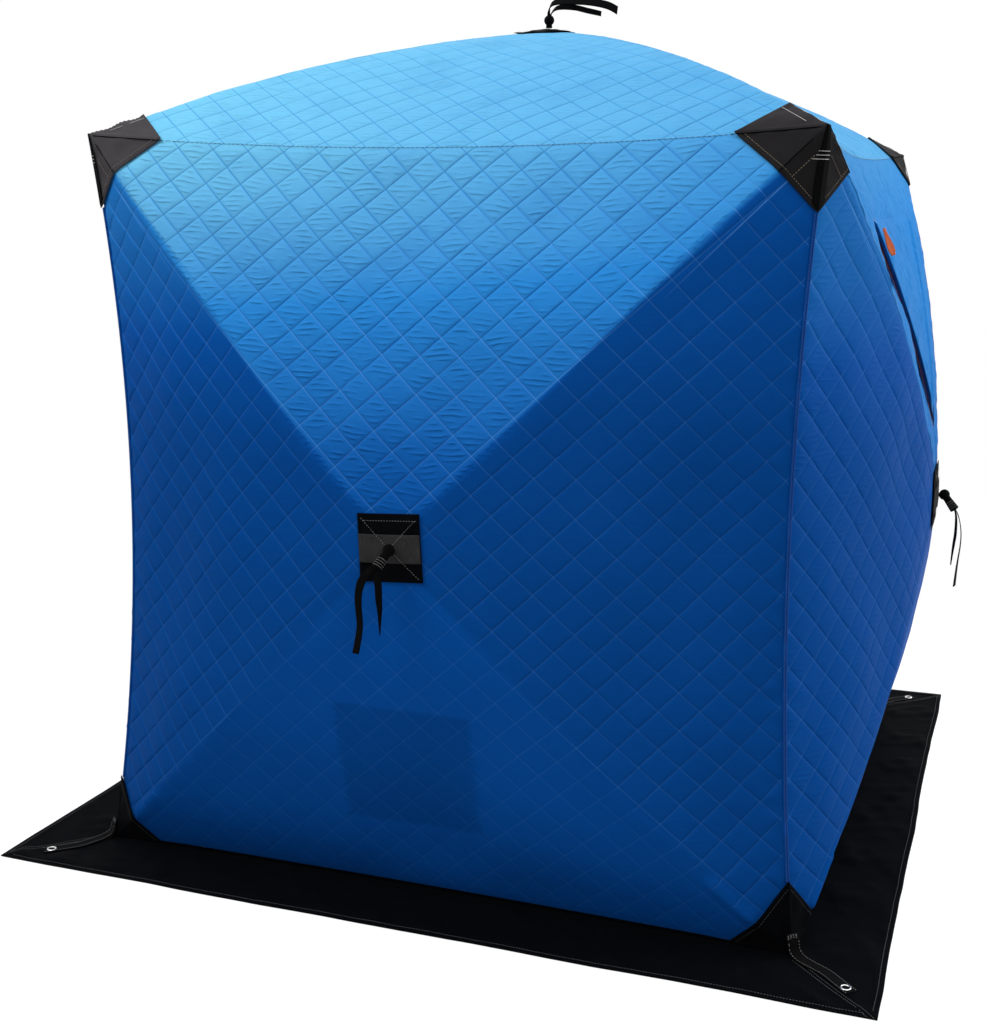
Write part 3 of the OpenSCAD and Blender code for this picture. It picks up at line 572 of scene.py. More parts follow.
class Finish:
    """A material with one Principled shader and what feeds it."""

    def __init__(self, name, **constants):
        self.material = bpy.data.materials.new(name)
        self.material.use_nodes = True
        self.tree = self.material.node_tree
        self.shader = self.tree.nodes["Principled BSDF"]
        for key, value in constants.items():
            self.shader.inputs[key.replace("_", " ")].default_value = value

    def node(self, kind, settings=None, sockets=(), out=0):
        """Adds a node: its settings first, then the values or wires of its sockets."""
        made = self.tree.nodes.new(kind)
        for key, value in (settings or {}).items():
            setattr(made, key, value)
        for key, value in sockets.items() if isinstance(sockets, dict) else enumerate(sockets):
            self.feed(made.inputs[key], value)
        return Wire(self, made.outputs[out])

    def feed(self, socket, value):
        if isinstance(value, Wire):
            self.tree.links.new(value.socket, socket)
        else:
            socket.default_value = value

    def give(self, key, value):
        self.feed(self.shader.inputs[key], value)

    def attribute(self, name):
        """The three numbers of a vector attribute, and the vector itself."""
        vector = self.node("ShaderNodeAttribute", {"attribute_name": name}, out=1)
        parts = self.node("ShaderNodeSeparateXYZ", None, (vector,))
        outputs = parts.socket.node.outputs
        return [Wire(self, outputs[i]) for i in range(3)] + [vector]

    def place(self):
        """The piece's Object coordinates."""
        return self.node("ShaderNodeTexCoord", out=3)

    def stretched(self, vector, scale):
        return self.node("ShaderNodeMapping", None, {"Vector": vector, "Scale": scale})

    def noise(self, vector, scale, detail=3.0, roughness=0.55):
        return self.node(
            "ShaderNodeTexNoise", None, {"Vector": vector, "Scale": scale, "Detail": detail, "Roughness": roughness})

    def wave(self, vector, scale, direction):
        return self.node(
            "ShaderNodeTexWave", {"bands_direction": direction, "wave_profile": "SIN"},
            {"Vector": vector, "Scale": scale, "Distortion": 0.0})

    def blend(self, factor, first, second):
        """A colour between two colours, each a wire or three numbers."""
        first, second = (c if isinstance(c, Wire) else (*c, 1.0) for c in (first, second))
        return self.node("ShaderNodeMix", {"data_type": "RGBA"}, {0: factor, 6: first, 7: second}, out=2)

    def bump(self, height, distance, strength=1.0, under=None):
        sockets = {"Height": height, "Distance": distance, "Strength": strength}
        if under:
            sockets["Normal"] = under
        return self.node("ShaderNodeBump", None, sockets)


# Finishes


def shade_of(rgb, factor):
    return tuple(c * factor for c in rgb)


def quilted_cloth():
    """Smooth woven shell: thread lines and puckers where it is quilted, fine crumples where it is plain; its colour
    carries painted light and shade.
    """
    c, shape = hut("colours"), hut("shape")
    f = Finish("quilted_cloth", IOR=1.45, Specular_IOR_Level=0.02)
    across, up, light, lay = f.attribute("lay")
    p, q, pucker, _ = f.attribute("quilt")
    sewn = pucker.step(-0.6, -0.2)
    # Painted light and shade: the colour runs from a darker copy of deep blue on the dark panels through blue to the
    # pale roof blue, following the painted light value in lay.
    base = f.blend(light.ramp(-0.5, 0.0), shade_of(c.deep, 0.55), tuple(c.deep))
    base = f.blend(light.ramp(0.0, 0.5), base, tuple(c.blue))
    base = f.blend(light.ramp(0.5, 1.0), base, tuple(c.roof))
    base = f.blend(f.noise(lay, 7.0, 4.0).step(0.45, 0.75) * 0.14, base, tuple(c.deep))
    # Painted shade in the stitch grooves: on pale cloth the thread is drawn as a darker blue, and the lines that
    # climb to the right get a dark blue tint on the paler panels.
    thread = f.blend(light.ramp(0.45, 0.7), tuple(c.thread), shade_of(c.blue, 0.8))
    seen = (pucker.ramp(0.0, 0.12) * (light.ramp(-0.3, 0.2) * 0.26 + 0.06) + 0.05) * sewn
    groove = f.blend(light.ramp(0.2, 0.4), thread, shade_of(c.blue, 0.42))
    clear, line_gap = 1.0, 0.062
    for line, along, tint in ((p, q, groove), (q, p, thread)):
        away = abs(line.fract() - 0.5) * line_gap
        clear = clear * away.step(0.002, 0.013)
        stitch = (1.0 - away.step(0.0007, 0.0016)) * ((along * 15.0).fract() < 0.85)
        base = f.blend(stitch * seen * (light.ramp(0.2, 0.4) * 0.7 + 1.0), base, tint)
    beside = abs(across / shape.base_half) - abs(up / (shape.corner_z / 2.0))
    sleeve = 1.0 - abs(beside - 0.044).step(0.0012, 0.0030)
    base = f.blend(sleeve * sewn * up.ramp(0.52, 0.68) * 0.40, base, tuple(c.thread))
    f.give("Base Color", base)
    cell = f.node("ShaderNodeCombineXYZ", None, ((p + 0.5).math("FLOOR"), (q + 0.5).math("FLOOR"), 0.0))
    chance = f.node("ShaderNodeTexWhiteNoise", {"noise_dimensions": "3D"}, {"Vector": cell})
    waver = f.noise(lay, 13.0, 2.0, 0.45)
    crease_rate = 6.283 / 0.0130
    rows = (up + across * (chance - 0.5) * 0.30) * crease_rate + chance * 37.0 + waver * 7.0
    patchy = f.noise(f.stretched(lay, (1.0, 2.4, 1.0)), 17.0, 2.0).step(0.36, 0.66)
    crease = (rows.math("SINE") * 0.5 + 0.5).math("POWER", 2.0) * clear * patchy * pucker.step(0.0, 0.9)
    fold = f.noise(f.stretched(lay, (1.0, 2.1, 1.0)), 85.0, 4.0, 0.6)
    crumple = f.noise(f.stretched(lay, (1.0, 0.5, 1.0)), 52.0, 5.0, 0.62) * (1.0 - sewn)
    f.give("Roughness", 0.42 + fold * 0.16)
    weave = f.wave(lay, 420.0, "X") + f.wave(lay, 420.0, "Y")
    fine = f.bump(weave, 0.00012, 0.35)
    f.give("Normal", f.bump(crease + fold * 0.16 + crumple * 4.5, 0.0024, 1.0, fine))
    return f.material


def lining_cloth():
    """Inner side of the quilt, a matt grey-blue cloth."""
    c = hut("colours")
    f = Finish("lining_cloth", Sheen_Weight=0.1)
    place = f.place()
    cloud = f.noise(place, 9.0)
    f.give("Base Color", f.blend(cloud, shade_of(c.lining, 0.75), tuple(c.lining)))
    f.give("Roughness", 0.70 + cloud * 0.18)
    f.give("Normal", f.bump(f.noise(place, 220.0, 2.0), 0.0006, 0.4))
    return f.material


def woven(name, rgb, thread_mm, sheen, rough, depth=0.35, painted_light=1.0):
    """A plain weave of dyed yarn with patches of wear and dust.

    painted_light is how much paler the colour is painted up on the roof and to the left, where more light falls.
    """
    f = Finish(name, Sheen_Weight=sheen, Sheen_Roughness=0.35, IOR=1.45, Specular_IOR_Level=0.015)
    place = f.place()
    scale = 0.5 / (thread_mm * MM)
    warp = f.wave(place, scale, "X") + f.wave(place, scale, "Y") + f.wave(place, scale, "Z")
    dust = f.noise(place, 14.0, 5.0, 0.6)
    tone = f.blend(warp * 0.33, shade_of(rgb, 0.62), shade_of(rgb, 1.25))
    tone = f.blend(dust.step(0.52, 0.78) * 0.35, tone, shade_of(rgb, 2.1))
    # Painted light: paler to the left and up on the roof, where more light falls.
    if painted_light > 1.0:
        x, z = (f.node("ShaderNodeSeparateXYZ", None, (place,), axis) for axis in (0, 2))
        tone = f.blend(1.0 - x.ramp(-0.9, 0.3) + z.ramp(1.735, 1.80) * 0.58, tone, shade_of(rgb, painted_light))
    f.give("Base Color", tone)
    f.give("Roughness", rough + dust * 0.16)
    f.give("Normal", f.bump(warp, thread_mm * MM * depth, 0.6, f.bump(dust, 0.004, 0.25)))
    return f.material


def thread_finish(name, rgb):
    """Twisted sewing thread."""
    f = Finish(name, Sheen_Weight=0.2)
    place = f.place()
    twist = f.noise(place, 900.0, 1.0)
    f.give("Base Color", f.blend(twist, shade_of(rgb, 0.7), rgb))
    f.give("Roughness", 0.55 + twist * 0.25)
    return f.material


def pull_rubber():
    """Moulded orange zip pull with a faint mottle."""
    c = hut("colours")
    f = Finish("pull_rubber", IOR=1.48)
    mottle = f.noise(f.place(), 320.0, 3.0)
    f.give("Base Color", f.blend(mottle, shade_of(c.orange, 0.78), tuple(c.orange)))
    f.give("Roughness", 0.42 + mottle * 0.2)
    f.give("Normal", f.bump(mottle, 0.0004, 0.4))
    return f.material


def nickel_plate():
    """Bright plated metal with fine scratches."""
    c = hut("colours")
    f = Finish("nickel_plate", Metallic=1.0)
    scratch = f.noise(f.stretched(f.place(), (1.0, 6.0, 1.0)), 420.0, 3.0)
    f.give("Base Color", f.blend(scratch, shade_of(c.nickel, 0.82), tuple(c.nickel)))
    f.give("Roughness", 0.20 + scratch * 0.16)
    return f.material


def moulded(name, rgb, rough):
    """Moulded or drawn black stock with a fine grain."""
    f = Finish(name, IOR=1.5)
    grain = f.noise(f.place(), 260.0, 4.0)
    f.give("Base Color", f.blend(grain, shade_of(rgb, 0.8), shade_of(rgb, 1.3)))
    f.give("Roughness", rough + grain * 0.2)
    f.give("Normal", f.bump(grain, 0.0005, 0.3))
    return f.material


FINISHES = {}


def finish_maker(make, *details):
    """Makes a finish once and hands out the same material after that."""
    made = []

    def get():
        if not made:
            made.append(make(*details))
        return made[0]

    return get


def lay_out_finishes():
    """Names every finish of the hut."""
    c = hut("colours")
    FINISHES.update({
        "quilt": finish_maker(quilted_cloth),
        "lining": finish_maker(lining_cloth),
        "skirt": finish_maker(woven, "skirt_cloth", tuple(c.black), 0.9, 0.0, 0.62),
        # The cap cloth is painted up to 3.4 times paler up on the roof and to the left: painted light.
        "cap": finish_maker(woven, "corner_cloth", tuple(c.charcoal), 0.8, 0.02, 0.50, 0.35, 3.4),
        "foot": finish_maker(woven, "foot_cloth", shade_of(c.black, 0.85), 0.8, 0.01, 0.58),
        "patch": finish_maker(woven, "patch_cloth", shade_of(c.black, 0.9), 0.8, 0.01, 0.55),
        "band": finish_maker(woven, "patch_band", tuple(c.band), 1.1, 0.02, 0.60),
        "webbing": finish_maker(woven, "webbing", tuple(c.webbing), 1.4, 0.01, 0.55, 0.5),
        "binding": finish_maker(woven, "binding_tape", shade_of(c.deep, 0.8), 0.7, 0.0, 0.5),
        "zip": finish_maker(woven, "zip_tape", shade_of(c.navy, 0.8), 0.6, 0.0, 0.6),
        "pocket": finish_maker(woven, "pocket_cloth", shade_of(c.deep, 0.6), 0.8, 0.0, 0.6),
        "tan": finish_maker(thread_finish, "tan_thread", tuple(c.tan)),
        "pale": finish_maker(thread_finish, "pale_thread", tuple(c.pale)),
        "dim": finish_maker(thread_finish, "dim_thread", shade_of(c.pale, 0.3)),
        "white": finish_maker(thread_finish, "white_thread", shade_of(c.pale, 1.8)),
        # Painted shade: darker than the black cloth, drawn along the caps' folds.
        "crease": finish_maker(woven, "crease_line", shade_of(c.black, 0.4), 0.8, 0.0, 0.7),
        # Painted shade: navy stitches that draw the shaded line along the roof seams.
        "seam": finish_maker(thread_finish, "seam_thread", tuple(c.navy)),
        "navy": finish_maker(thread_finish, "navy_thread", (0.10, 0.06, 0.30)),
        "orange": finish_maker(pull_rubber),
        "nickel": finish_maker(nickel_plate),
        "hub": finish_maker(moulded, "hub_plastic", tuple(c.hub), 0.42),
        "pole": finish_maker(moulded, "glass_fibre", tuple(c.pole), 0.30),
    })


# Shapes that several pieces share


def sheet_place(s, u, v):
    """Rough distances from the hub in metres, across and up."""
    return u * s.base_half, v * s.corner_z / 2.0


def beside_seam(s, u, v):
    """Rough distance in metres from the nearest seam."""
    return np.minimum((1.0 - np.abs(u)) * s.base_half, (1.0 - np.abs(v)) * s.corner_z / 2.0)


def beside_pole(u, v):
    """Rough distance in metres from the nearest pole's line."""
    return np.abs(np.abs(u) - np.abs(v)) * POLE_SCALE


def layer_top():
    """How far the outer face of a sewn layer stands off the cloth."""
    s = hut("shape")
    return s.layer_gap + s.layer_t


def cap_shares(drop, run, half):
    """How far a cap reaches along the upright seam and along the other seam, in u, v."""
    return 2.0 * drop / hut("shape").corner_z, run / half


def window_outline(grow):
    """The window's triangle in u, v, grown by a margin."""
    s, t, wall = hut("shape"), hut("trim"), Cloth("right")
    slope = (t.win_top - t.win_tip) / t.win_half
    tip, top = t.win_tip - grow * math.hypot(1.0, slope), t.win_top + grow
    half = (top - tip) / slope
    return [(0.0, wall.v_of_z(tip)), (half / s.top_half, wall.v_of_z(top)), (-half / s.top_half, wall.v_of_z(top))]


def door_round(v, grow):
    s, t = hut("shape"), hut("trim")
    oval = np.sqrt(np.maximum(0.0, 1.0 - (v * s.hub_z / (t.door_half + t.door_round_off)) ** 2))
    return (t.door_edge - t.door_deep * oval - grow) / s.base_half


def door_outline(grow, count=20):
    """The door's outline in u, v, grown by a margin, counter-clockwise."""
    s, t = hut("shape"), hut("trim")
    k = np.linspace(1.0, -1.0, count + 1)
    v = k * t.door_half / s.hub_z
    end = (t.door_half + grow) / s.hub_z
    high = np.where(np.abs(k) == 1.0, np.sign(k) * end, v)
    side = (t.door_edge + grow) / s.base_half
    return [*zip(door_round(v, grow), high), (side, -end), (side, end)]


def inside_by(outline, u, v):
    """How far points lie inside a convex outline, in u, v units; negative outside."""
    deep = np.full_like(u, 9.0)
    for (ax, ay), (bx, by) in zip(outline, [*outline[1:], outline[0]]):
        size = math.hypot(bx - ax, by - ay)
        deep = np.minimum(deep, ((bx - ax) * (v - ay) - (by - ay) * (u - ax)) / size)
    return deep


def layers_over(cloth, u, v):
    """1 where a cap, patch, cover or zip is sewn over the sheet, with a soft edge."""
    s, t = cloth.s, hut("trim")
    over = np.zeros_like(u)

    def add(inside, soft):
        np.maximum(over, smooth(-soft, 0.0, inside), out=over)

    half = s.top_half if cloth.roof else s.base_half
    add(t.patch_half / half - np.maximum(np.abs(u), np.abs(v)), 0.012)
    run = t.cap_run / s.top_half
    if cloth.roof:
        add(1.0 - (2.0 - np.abs(u) - np.abs(v)) / run, 0.10)
        return over
    drop, _ = cap_shares(t.cap_drop, 0.0, 1.0)
    add(np.where(v > 0, 1.0 - ((1.0 - v) / drop + (1.0 - np.abs(u)) / run), -1.0), 0.10)
    rise, foot = cap_shares(t.foot_rise, t.foot_run, s.base_half)
    add(np.where(v < 0, 1.0 - ((1.0 + v) / rise + (1.0 - np.abs(u)) / foot), -1.0), 0.10)
    add((t.skirt_rise / s.hub_z) - (1.0 + v), 0.012)
    if cloth.side in ("right", "left"):
        add(inside_by(window_outline(t.win_lap + t.zip_gap + t.zip_w), u, v), 0.012)
    if cloth.side == "back":
        wide = t.door_zip_w / 2.0 + 0.002
        outer, inner = (inside_by(door_outline(t.door_gap / 2 + w), u, v) for w in (wide, -wide))
        add(np.minimum(outer, -inner), 0.012)
    return over


def slack_waves(cloth, u, v):
    """Wide, shallow waves of a sheet between its poles and seams; the lining follows them too."""
    s, seed = cloth.s, 23 + (4 if cloth.roof else cloth.turns)
    free = smooth(0.0, 0.16, beside_seam(s, u, v)) * smooth(0.0, 0.12, beside_pole(u, v))
    free = free * smooth(0.08, 0.3, np.maximum(np.abs(u), np.abs(v)))
    return hut("quilt").drape * free * ripple(*sheet_place(s, u, v), 0.42, seed)


def panel_shares(cloth, u, v, soft=0.02):
    """1 on the panel over the hub, and 1 on the panel under it, with a soft edge along the poles."""
    if cloth.roof:
        return np.zeros_like(u), np.zeros_like(u)
    return smooth(-soft, soft, v - np.abs(u)), smooth(-soft, soft, -v - np.abs(u))


def quilt_relief(cloth, u, v):
    """Height of the quilted cloth over its CAD face, and how strongly it puckers; -1 means unquilted."""
    q, s = hut("quilt"), cloth.s
    seed = 11 + (4 if cloth.roof else cloth.turns)
    x, z = sheet_place(s, u, v)
    a, b = quilt_lines(u, v)
    upper, lower = panel_shares(cloth, u, v)
    plain = upper if cloth.side in ("right", "left") else np.zeros_like(u)
    i, j = np.floor(a + 0.5), np.floor(b + 0.5)
    flank = [1.0 - np.exp((np.abs(k) - 0.5) / q.flank) for k in (a - i, b - j)]
    puff = flank[0] * flank[1] * (0.75 + 0.25 * np.abs(np.cos(np.pi * a) * np.cos(np.pi * b)))
    lively = 0.75 + 0.5 * scatter(i, j, seed)
    quiet = 0.15 if cloth.side == "front" else 0.35
    weight = quiet + (1.0 - quiet) * upper - (quiet - 0.02) * lower
    if cloth.roof:
        weight = np.full_like(u, 0.75)
    weight = weight * (0.80 + 0.20 * np.clip(ripple(x, z, 0.30, seed + 20), -1.0, 1.0))
    tilt = (scatter(i, j, seed + 3) - 0.5) * 0.6
    phase = scatter(i, j, seed + 5) * 6.28 + 1.2 * ripple(x, z, 0.050, seed + 6)
    rows = np.sin(2.0 * np.pi * (z + tilt * x) / q.pucker_pitch + phase)
    fan = 0.4 + 0.6 * scatter(i, j, seed + 9)
    pucker = q.pucker * weight * fan * puff**2 * rows
    edge = beside_seam(s, u, v)
    fade = smooth(0.0, 0.022, edge)
    hold = 0.35 + 0.65 * smooth(0.004, 0.035, beside_pole(u, v))
    height = q.puff * (0.72 + 0.28 * upper - 0.56 * lower)
    d = (height * lively * (puff - 0.35) * hold + pucker) * fade * (1.0 - plain)
    d += plain * fade * (0.0007 * ripple(x, z, 0.05, seed + 31) + 0.0010 * ripple(x, z, 0.15, seed + 32))
    beside = smooth(0.07, 0.0, (1.0 - np.abs(u)) * s.base_half)
    d += 0.0011 * beside * fade * ripple(z, x * 0.2, 0.055, seed + 15, 0.0, 0.2)
    d += slack_waves(cloth, u, v) + 0.0060 * pole_end(cloth, u, v)
    over = layers_over(cloth, u, v)
    d = lerp(d, np.minimum(d, -0.0009), over)
    groove = smooth(0.006, 0.0, edge)
    return d - q.seam_dip * groove, lerp(weight * (1.0 - over), -1.0, plain)


def pole_end(cloth, u, v):
    """1 over the pole ends that show through the cloth beside the lower caps."""
    if cloth.roof:
        return np.zeros_like(u)
    reach = np.maximum(np.abs(u), np.abs(v))
    ends = smooth(0.795, 0.815, reach) * smooth(0.93, 0.91, reach)
    radius = 0.011
    return np.sqrt(np.maximum(0.0, 1.0 - (beside_pole(u, v) / radius) ** 2)) * ends * (v < 0)


def panel_light(cloth, u, v):
    """Painted light and shade of the cloth: below 0 on the dark panels, about half high on a wall and up to 1 on the
    roof.
    """
    # Painted light: the roof is paler to the left, where more light falls.
    if cloth.roof:
        return np.interp(u, (-0.75, 0.0, 0.75), (1.0, 0.865, 0.775))
    t, s = hut("trim"), cloth.s
    # Painted light and shade: paler high on a wall and on the front's left, darker on the lower panel and darkest
    # near the ground.
    upper, lower = panel_shares(cloth, u, v, 0.013)
    rise = smooth(0.1, 0.9, v)
    if cloth.side == "front":
        high = np.interp(v, (0.0, 0.2, 0.5, 0.75, 1.0), (0.0, 0.09, 0.37, 0.66, 0.84)) - 0.22 * u * v
        side = -0.27 + (0.39 - 0.19 * np.sign(u)) * rise
    else:
        high = np.interp(v, (0.0, 0.3, 0.8, 1.0), (0.2, 0.36, 0.5, 0.6))
        side = 0.46 * rise - 0.18
    ground = -0.02 - 0.09 * smooth(-0.72, -1.0, v)
    # The pole ends that show through get a painted highlight.
    light = side + upper * (high - side) + lower * (ground - side) + 0.13 * pole_end(cloth, u, v)
    # Painted shade where the inside pocket shows through the front wall as a darker rectangle.
    if cloth.side == "front":
        low, high = cloth.v_of_z(t.pocket_low), cloth.v_of_z(t.pocket_high)
        wide = t.pocket_half / s.base_half
        seen = smooth(-0.004, 0.004, np.minimum(wide - np.abs(u), np.minimum(v - low, high - v)))
        light = lerp(light, -0.22, seen)
    return light


def cloth_values(cloth, u, v, weight):
    """What the quilted finish reads: the place and the painted light, then the stitch lines and the puckering."""
    lay = stack(*sheet_place(cloth.s, u, v), panel_light(cloth, u, v))
    return {"lay": lay, "quilt": stack(*quilt_lines(u, v), weight)}


def place_quilt(cloth):
    """Maps a flat quilt sheet onto one wall or the roof."""

    def place(flat):
        u, v, below = flat[:, 0], flat[:, 1], flat[:, 2] < -0.5
        relief, weight = quilt_relief(cloth, u, v)
        points = cloth.points(u, v, np.where(below, slack_waves(cloth, u, v) - cloth.s.cloth_t, relief))
        return points, cloth_values(cloth, u, v, weight)

    return place


class Stitches:
    """Rows of single stitches that become one piece."""

    def __init__(self, length=0.0042, pitch=0.0066, radius=0.0007):
        self.size, self.pitch, self.rows = (length / 2.0, radius, radius * 0.75), pitch, []

    def row(self, points, lift):
        """One row along a line of points, on the side that lift points to."""
        points = np.asarray(points, float)
        lift = np.broadcast_to(np.asarray(lift, float), points.shape)
        steps = np.linalg.norm(np.diff(points, axis=0), axis=1)
        gone = np.concatenate(((0.0,), np.cumsum(steps)))
        at = np.arange(self.pitch / 2.0, gone[-1], self.pitch)
        k = np.clip(np.searchsorted(gone, at) - 1, 0, len(steps) - 1)
        spot = lerp(points[k], points[k + 1], ((at - gone[k]) / np.maximum(steps[k], 1e-9))[:, None])
        x = unit(points[k + 1] - points[k])
        y = unit(np.cross(lift[k], x))
        axes = (axis * size for axis, size in zip((x, y, np.cross(x, y)), self.size))
        self.rows.append(np.stack((spot, *axes), axis=1))

    def on_cloth(self, cloth, start, end, d, count=24):
        """One row on a sheet, straight in u, v."""
        k = np.linspace(0.0, 1.0, count)
        u, v = lerp(start[0], end[0], k), lerp(start[1], end[1], k)
        points = cloth.points(u, v, d)
        self.row(points, cloth.points(u, v, d + 0.01) - points)

    def sew(self, name, finish, slot):
        """Copies one stitch as often as it is needed, and then moves each copy to its place."""
        frames = np.concatenate(self.rows)
        bm = bmesh.new()
        bmesh.ops.create_uvsphere(bm, u_segments=6, v_segments=4, radius=1.0)
        verts, faces = len(bm.verts), len(bm.faces)
        count = 1
        while count < len(frames):
            more = min(count, len(frames) - count)
            bm.faces.ensure_lookup_table()
            bmesh.ops.duplicate(bm, geom=bm.faces[:more * faces])
            count += more

        def place(flat):
            at = frames[np.arange(len(flat)) // verts]
            return at[:, 0] + np.einsum("ni,nij->nj", flat, at[:, 1:]), {}

        return piece(name, bm, [finish], (), place)


def ribbon(name, line, across, width, thickness, finish, nodes=(), cells=6, crown=0.0):
    """A flat strap along a line of points; across gives the direction of its width at each point."""
    line, across = np.asarray(line, float), unit(np.asarray(across, float))
    half = np.broadcast_to(np.asarray(width, float), len(line)) / 2.0
    along = unit(np.gradient(line, axis=0))
    normal = unit(np.cross(along, across))
    count = len(line) - 1

    def place(flat):
        i = np.clip(np.rint((flat[:, 0] + 1.0) / 2.0 * count).astype(int), 0, count)
        w = flat[:, 1]
        rise = thickness / 2.0 + crown * (1.0 - w * w)
        return line[i] + across[i] * (w * half[i])[:, None] + normal[i] * rise[:, None], {}

    obj = piece(name, plain_grid(count, cells), [finish], nodes, place)
    return thicken(obj, thickness)


# Operators


class HUT_OT_stage(Operator):
    """Sets up the camera, the soft light and the pale floor"""

    bl_idname = "hut.stage"
    bl_label = "Stage"

    def execute(self, context):
        scene, s = context.scene, hut("stage")
        scene.view_settings.view_transform = "Standard"
        self.camera(scene, s)
        for name, place, size, watts in LAMPS:
            self.lamp(name, place, size, getattr(s, watts))
        self.world(scene, s)
        self.floor(scene)
        return {"FINISHED"}

    def camera(self, scene, s):
        forward = Vector((
            math.sin(s.yaw) * math.cos(s.pitch), math.cos(s.yaw) * math.cos(s.pitch), math.sin(s.pitch)))
        right = Vector((math.cos(s.yaw), -math.sin(s.yaw), 0.0))
        up = right.cross(forward)
        x = right * math.cos(s.roll) + up * math.sin(s.roll)
        y = up * math.cos(s.roll) - right * math.sin(s.roll)
        data = bpy.data.cameras.new("photo_camera")
        data.sensor_fit, data.sensor_height, data.sensor_width, data.lens = "VERTICAL", SENSOR, SENSOR, s.lens
        camera = bpy.data.objects.new("photo_camera", data)
        camera.matrix_world = Matrix.Translation(s.eye) @ Matrix((x, y, -forward)).transposed().to_4x4()
        scene.collection.objects.link(camera)
        scene.camera = camera

    def lamp(self, name, place, size, watts):
        """A square soft light that looks at the middle of the hut."""
        data = bpy.data.lights.new(name, "AREA")
        data.size, data.energy = size, watts
        lamp = bpy.data.objects.new(name, data)
        aim = Vector((0.0, 0.0, 1.0)) - Vector(place)
        lamp.location, lamp.rotation_euler = place, aim.to_track_quat("-Z", "Y").to_euler()
        lamp.visible_camera = False
        bpy.context.scene.collection.objects.link(lamp)

    def shown(self, tree):
        """1 for rays that show the background as it is: from the camera, in gloss and through glass."""
        path = tree.nodes.new("ShaderNodeLightPath")
        total = path.outputs["Is Camera Ray"]
        for name in ("Is Glossy Ray", "Is Transmission Ray"):
            top = tree.nodes.new("ShaderNodeMath")
            top.operation = "MAXIMUM"
            tree.links.new(total, top.inputs[0])
            tree.links.new(path.outputs[name], top.inputs[1])
            total = top.outputs[0]
        return total

    def world(self, scene, s):
        world = bpy.data.worlds.new("studio")
        world.use_nodes = True
        scene.world, tree = world, world.node_tree
        tree.nodes.clear()
        even, white = (tree.nodes.new("ShaderNodeBackground") for _ in range(2))
        for node, strength in ((even, s.ambient), (white, 1.0)):
            node.inputs[0].default_value, node.inputs[1].default_value = WHITE, strength
        mix, out = tree.nodes.new("ShaderNodeMixShader"), tree.nodes.new("ShaderNodeOutputWorld")
        tree.links.new(self.shown(tree), mix.inputs[0])
        tree.links.new(even.outputs[0], mix.inputs[1])
        tree.links.new(white.outputs[0], mix.inputs[2])
        tree.links.new(mix.outputs[0], out.inputs[0])

    def floor(self, scene):
        material = bpy.data.materials.new("pale_floor")
        material.use_nodes = True
        tree = material.node_tree
        tree.nodes.clear()
        pale, matt = (tree.nodes.new("ShaderNodeBsdfDiffuse") for _ in range(2))
        glow, white = (tree.nodes.new("ShaderNodeEmission") for _ in range(2))
        pale.inputs[0].default_value = (0.30, 0.30, 0.30, 1.0)
        matt.inputs[0].default_value = (0.38, 0.38, 0.38, 1.0)
        glow.inputs[1].default_value, white.inputs[1].default_value = 0.86, 1.0
        add, out = tree.nodes.new("ShaderNodeAddShader"), tree.nodes.new("ShaderNodeOutputMaterial")
        away, seen = (tree.nodes.new("ShaderNodeMixShader") for _ in range(2))
        place, reach = tree.nodes.new("ShaderNodeTexCoord"), tree.nodes.new("ShaderNodeVectorMath")
        fade = tree.nodes.new("ShaderNodeMapRange")
        reach.operation = "LENGTH"
        fade.interpolation_type = "SMOOTHSTEP"
        fade.inputs[1].default_value, fade.inputs[2].default_value = FLOOR_FADE
        for start, end in (
            (place.outputs["Object"], reach.inputs[0]), (reach.outputs["Value"], fade.inputs[0]),
            (pale.outputs[0], add.inputs[0]), (glow.outputs[0], add.inputs[1]),
            (fade.outputs[0], away.inputs[0]), (add.outputs[0], away.inputs[1]),
            (white.outputs[0], away.inputs[2]), (self.shown(tree), seen.inputs[0]),
            (matt.outputs[0], seen.inputs[1]), (away.outputs[0], seen.inputs[2]),
            (seen.outputs[0], out.inputs[0]),
        ):
            tree.links.new(start, end)
        bm = plain_grid(1, 1)
        bmesh.ops.scale(bm, vec=(FLOOR_HALF, FLOOR_HALF, 1.0), verts=bm.verts)
        mesh = bpy.data.meshes.new("floor")
        bm.to_mesh(mesh)
        bm.free()
        mesh.materials.append(material)
        floor = bpy.data.objects.new("floor", mesh)
        scene.collection.objects.link(floor)


class HUT_OT_walls(Operator):
    """Sews the quilted walls, roof and door over the frame"""

    bl_idname = "hut.walls"
    bl_label = "Walls, roof and door"

    def execute(self, context):
        t, s = hut("trim"), hut("shape")
        base = quilt_sheet()
        for side in PANELS:
            cloth, bm = Cloth(side), base.copy()
            if side in ("right", "left"):
                cut_outline(bm, window_outline(0.0), False)
            if side == "back":
                cut_outline(bm, door_outline(t.door_gap), False)
            close_rims(bm)
            wall = piece(
                cloth.node + "_quilt", bm, ["quilt", "lining"], [cloth.node], place_quilt(cloth))
        cut_outline(base, door_outline(0.0), True)
        close_rims(base)
        door = piece(
            "door_quilt", base, ["quilt", "lining"], ["door_panel"], place_quilt(Cloth("back")))
        return {"FINISHED"}


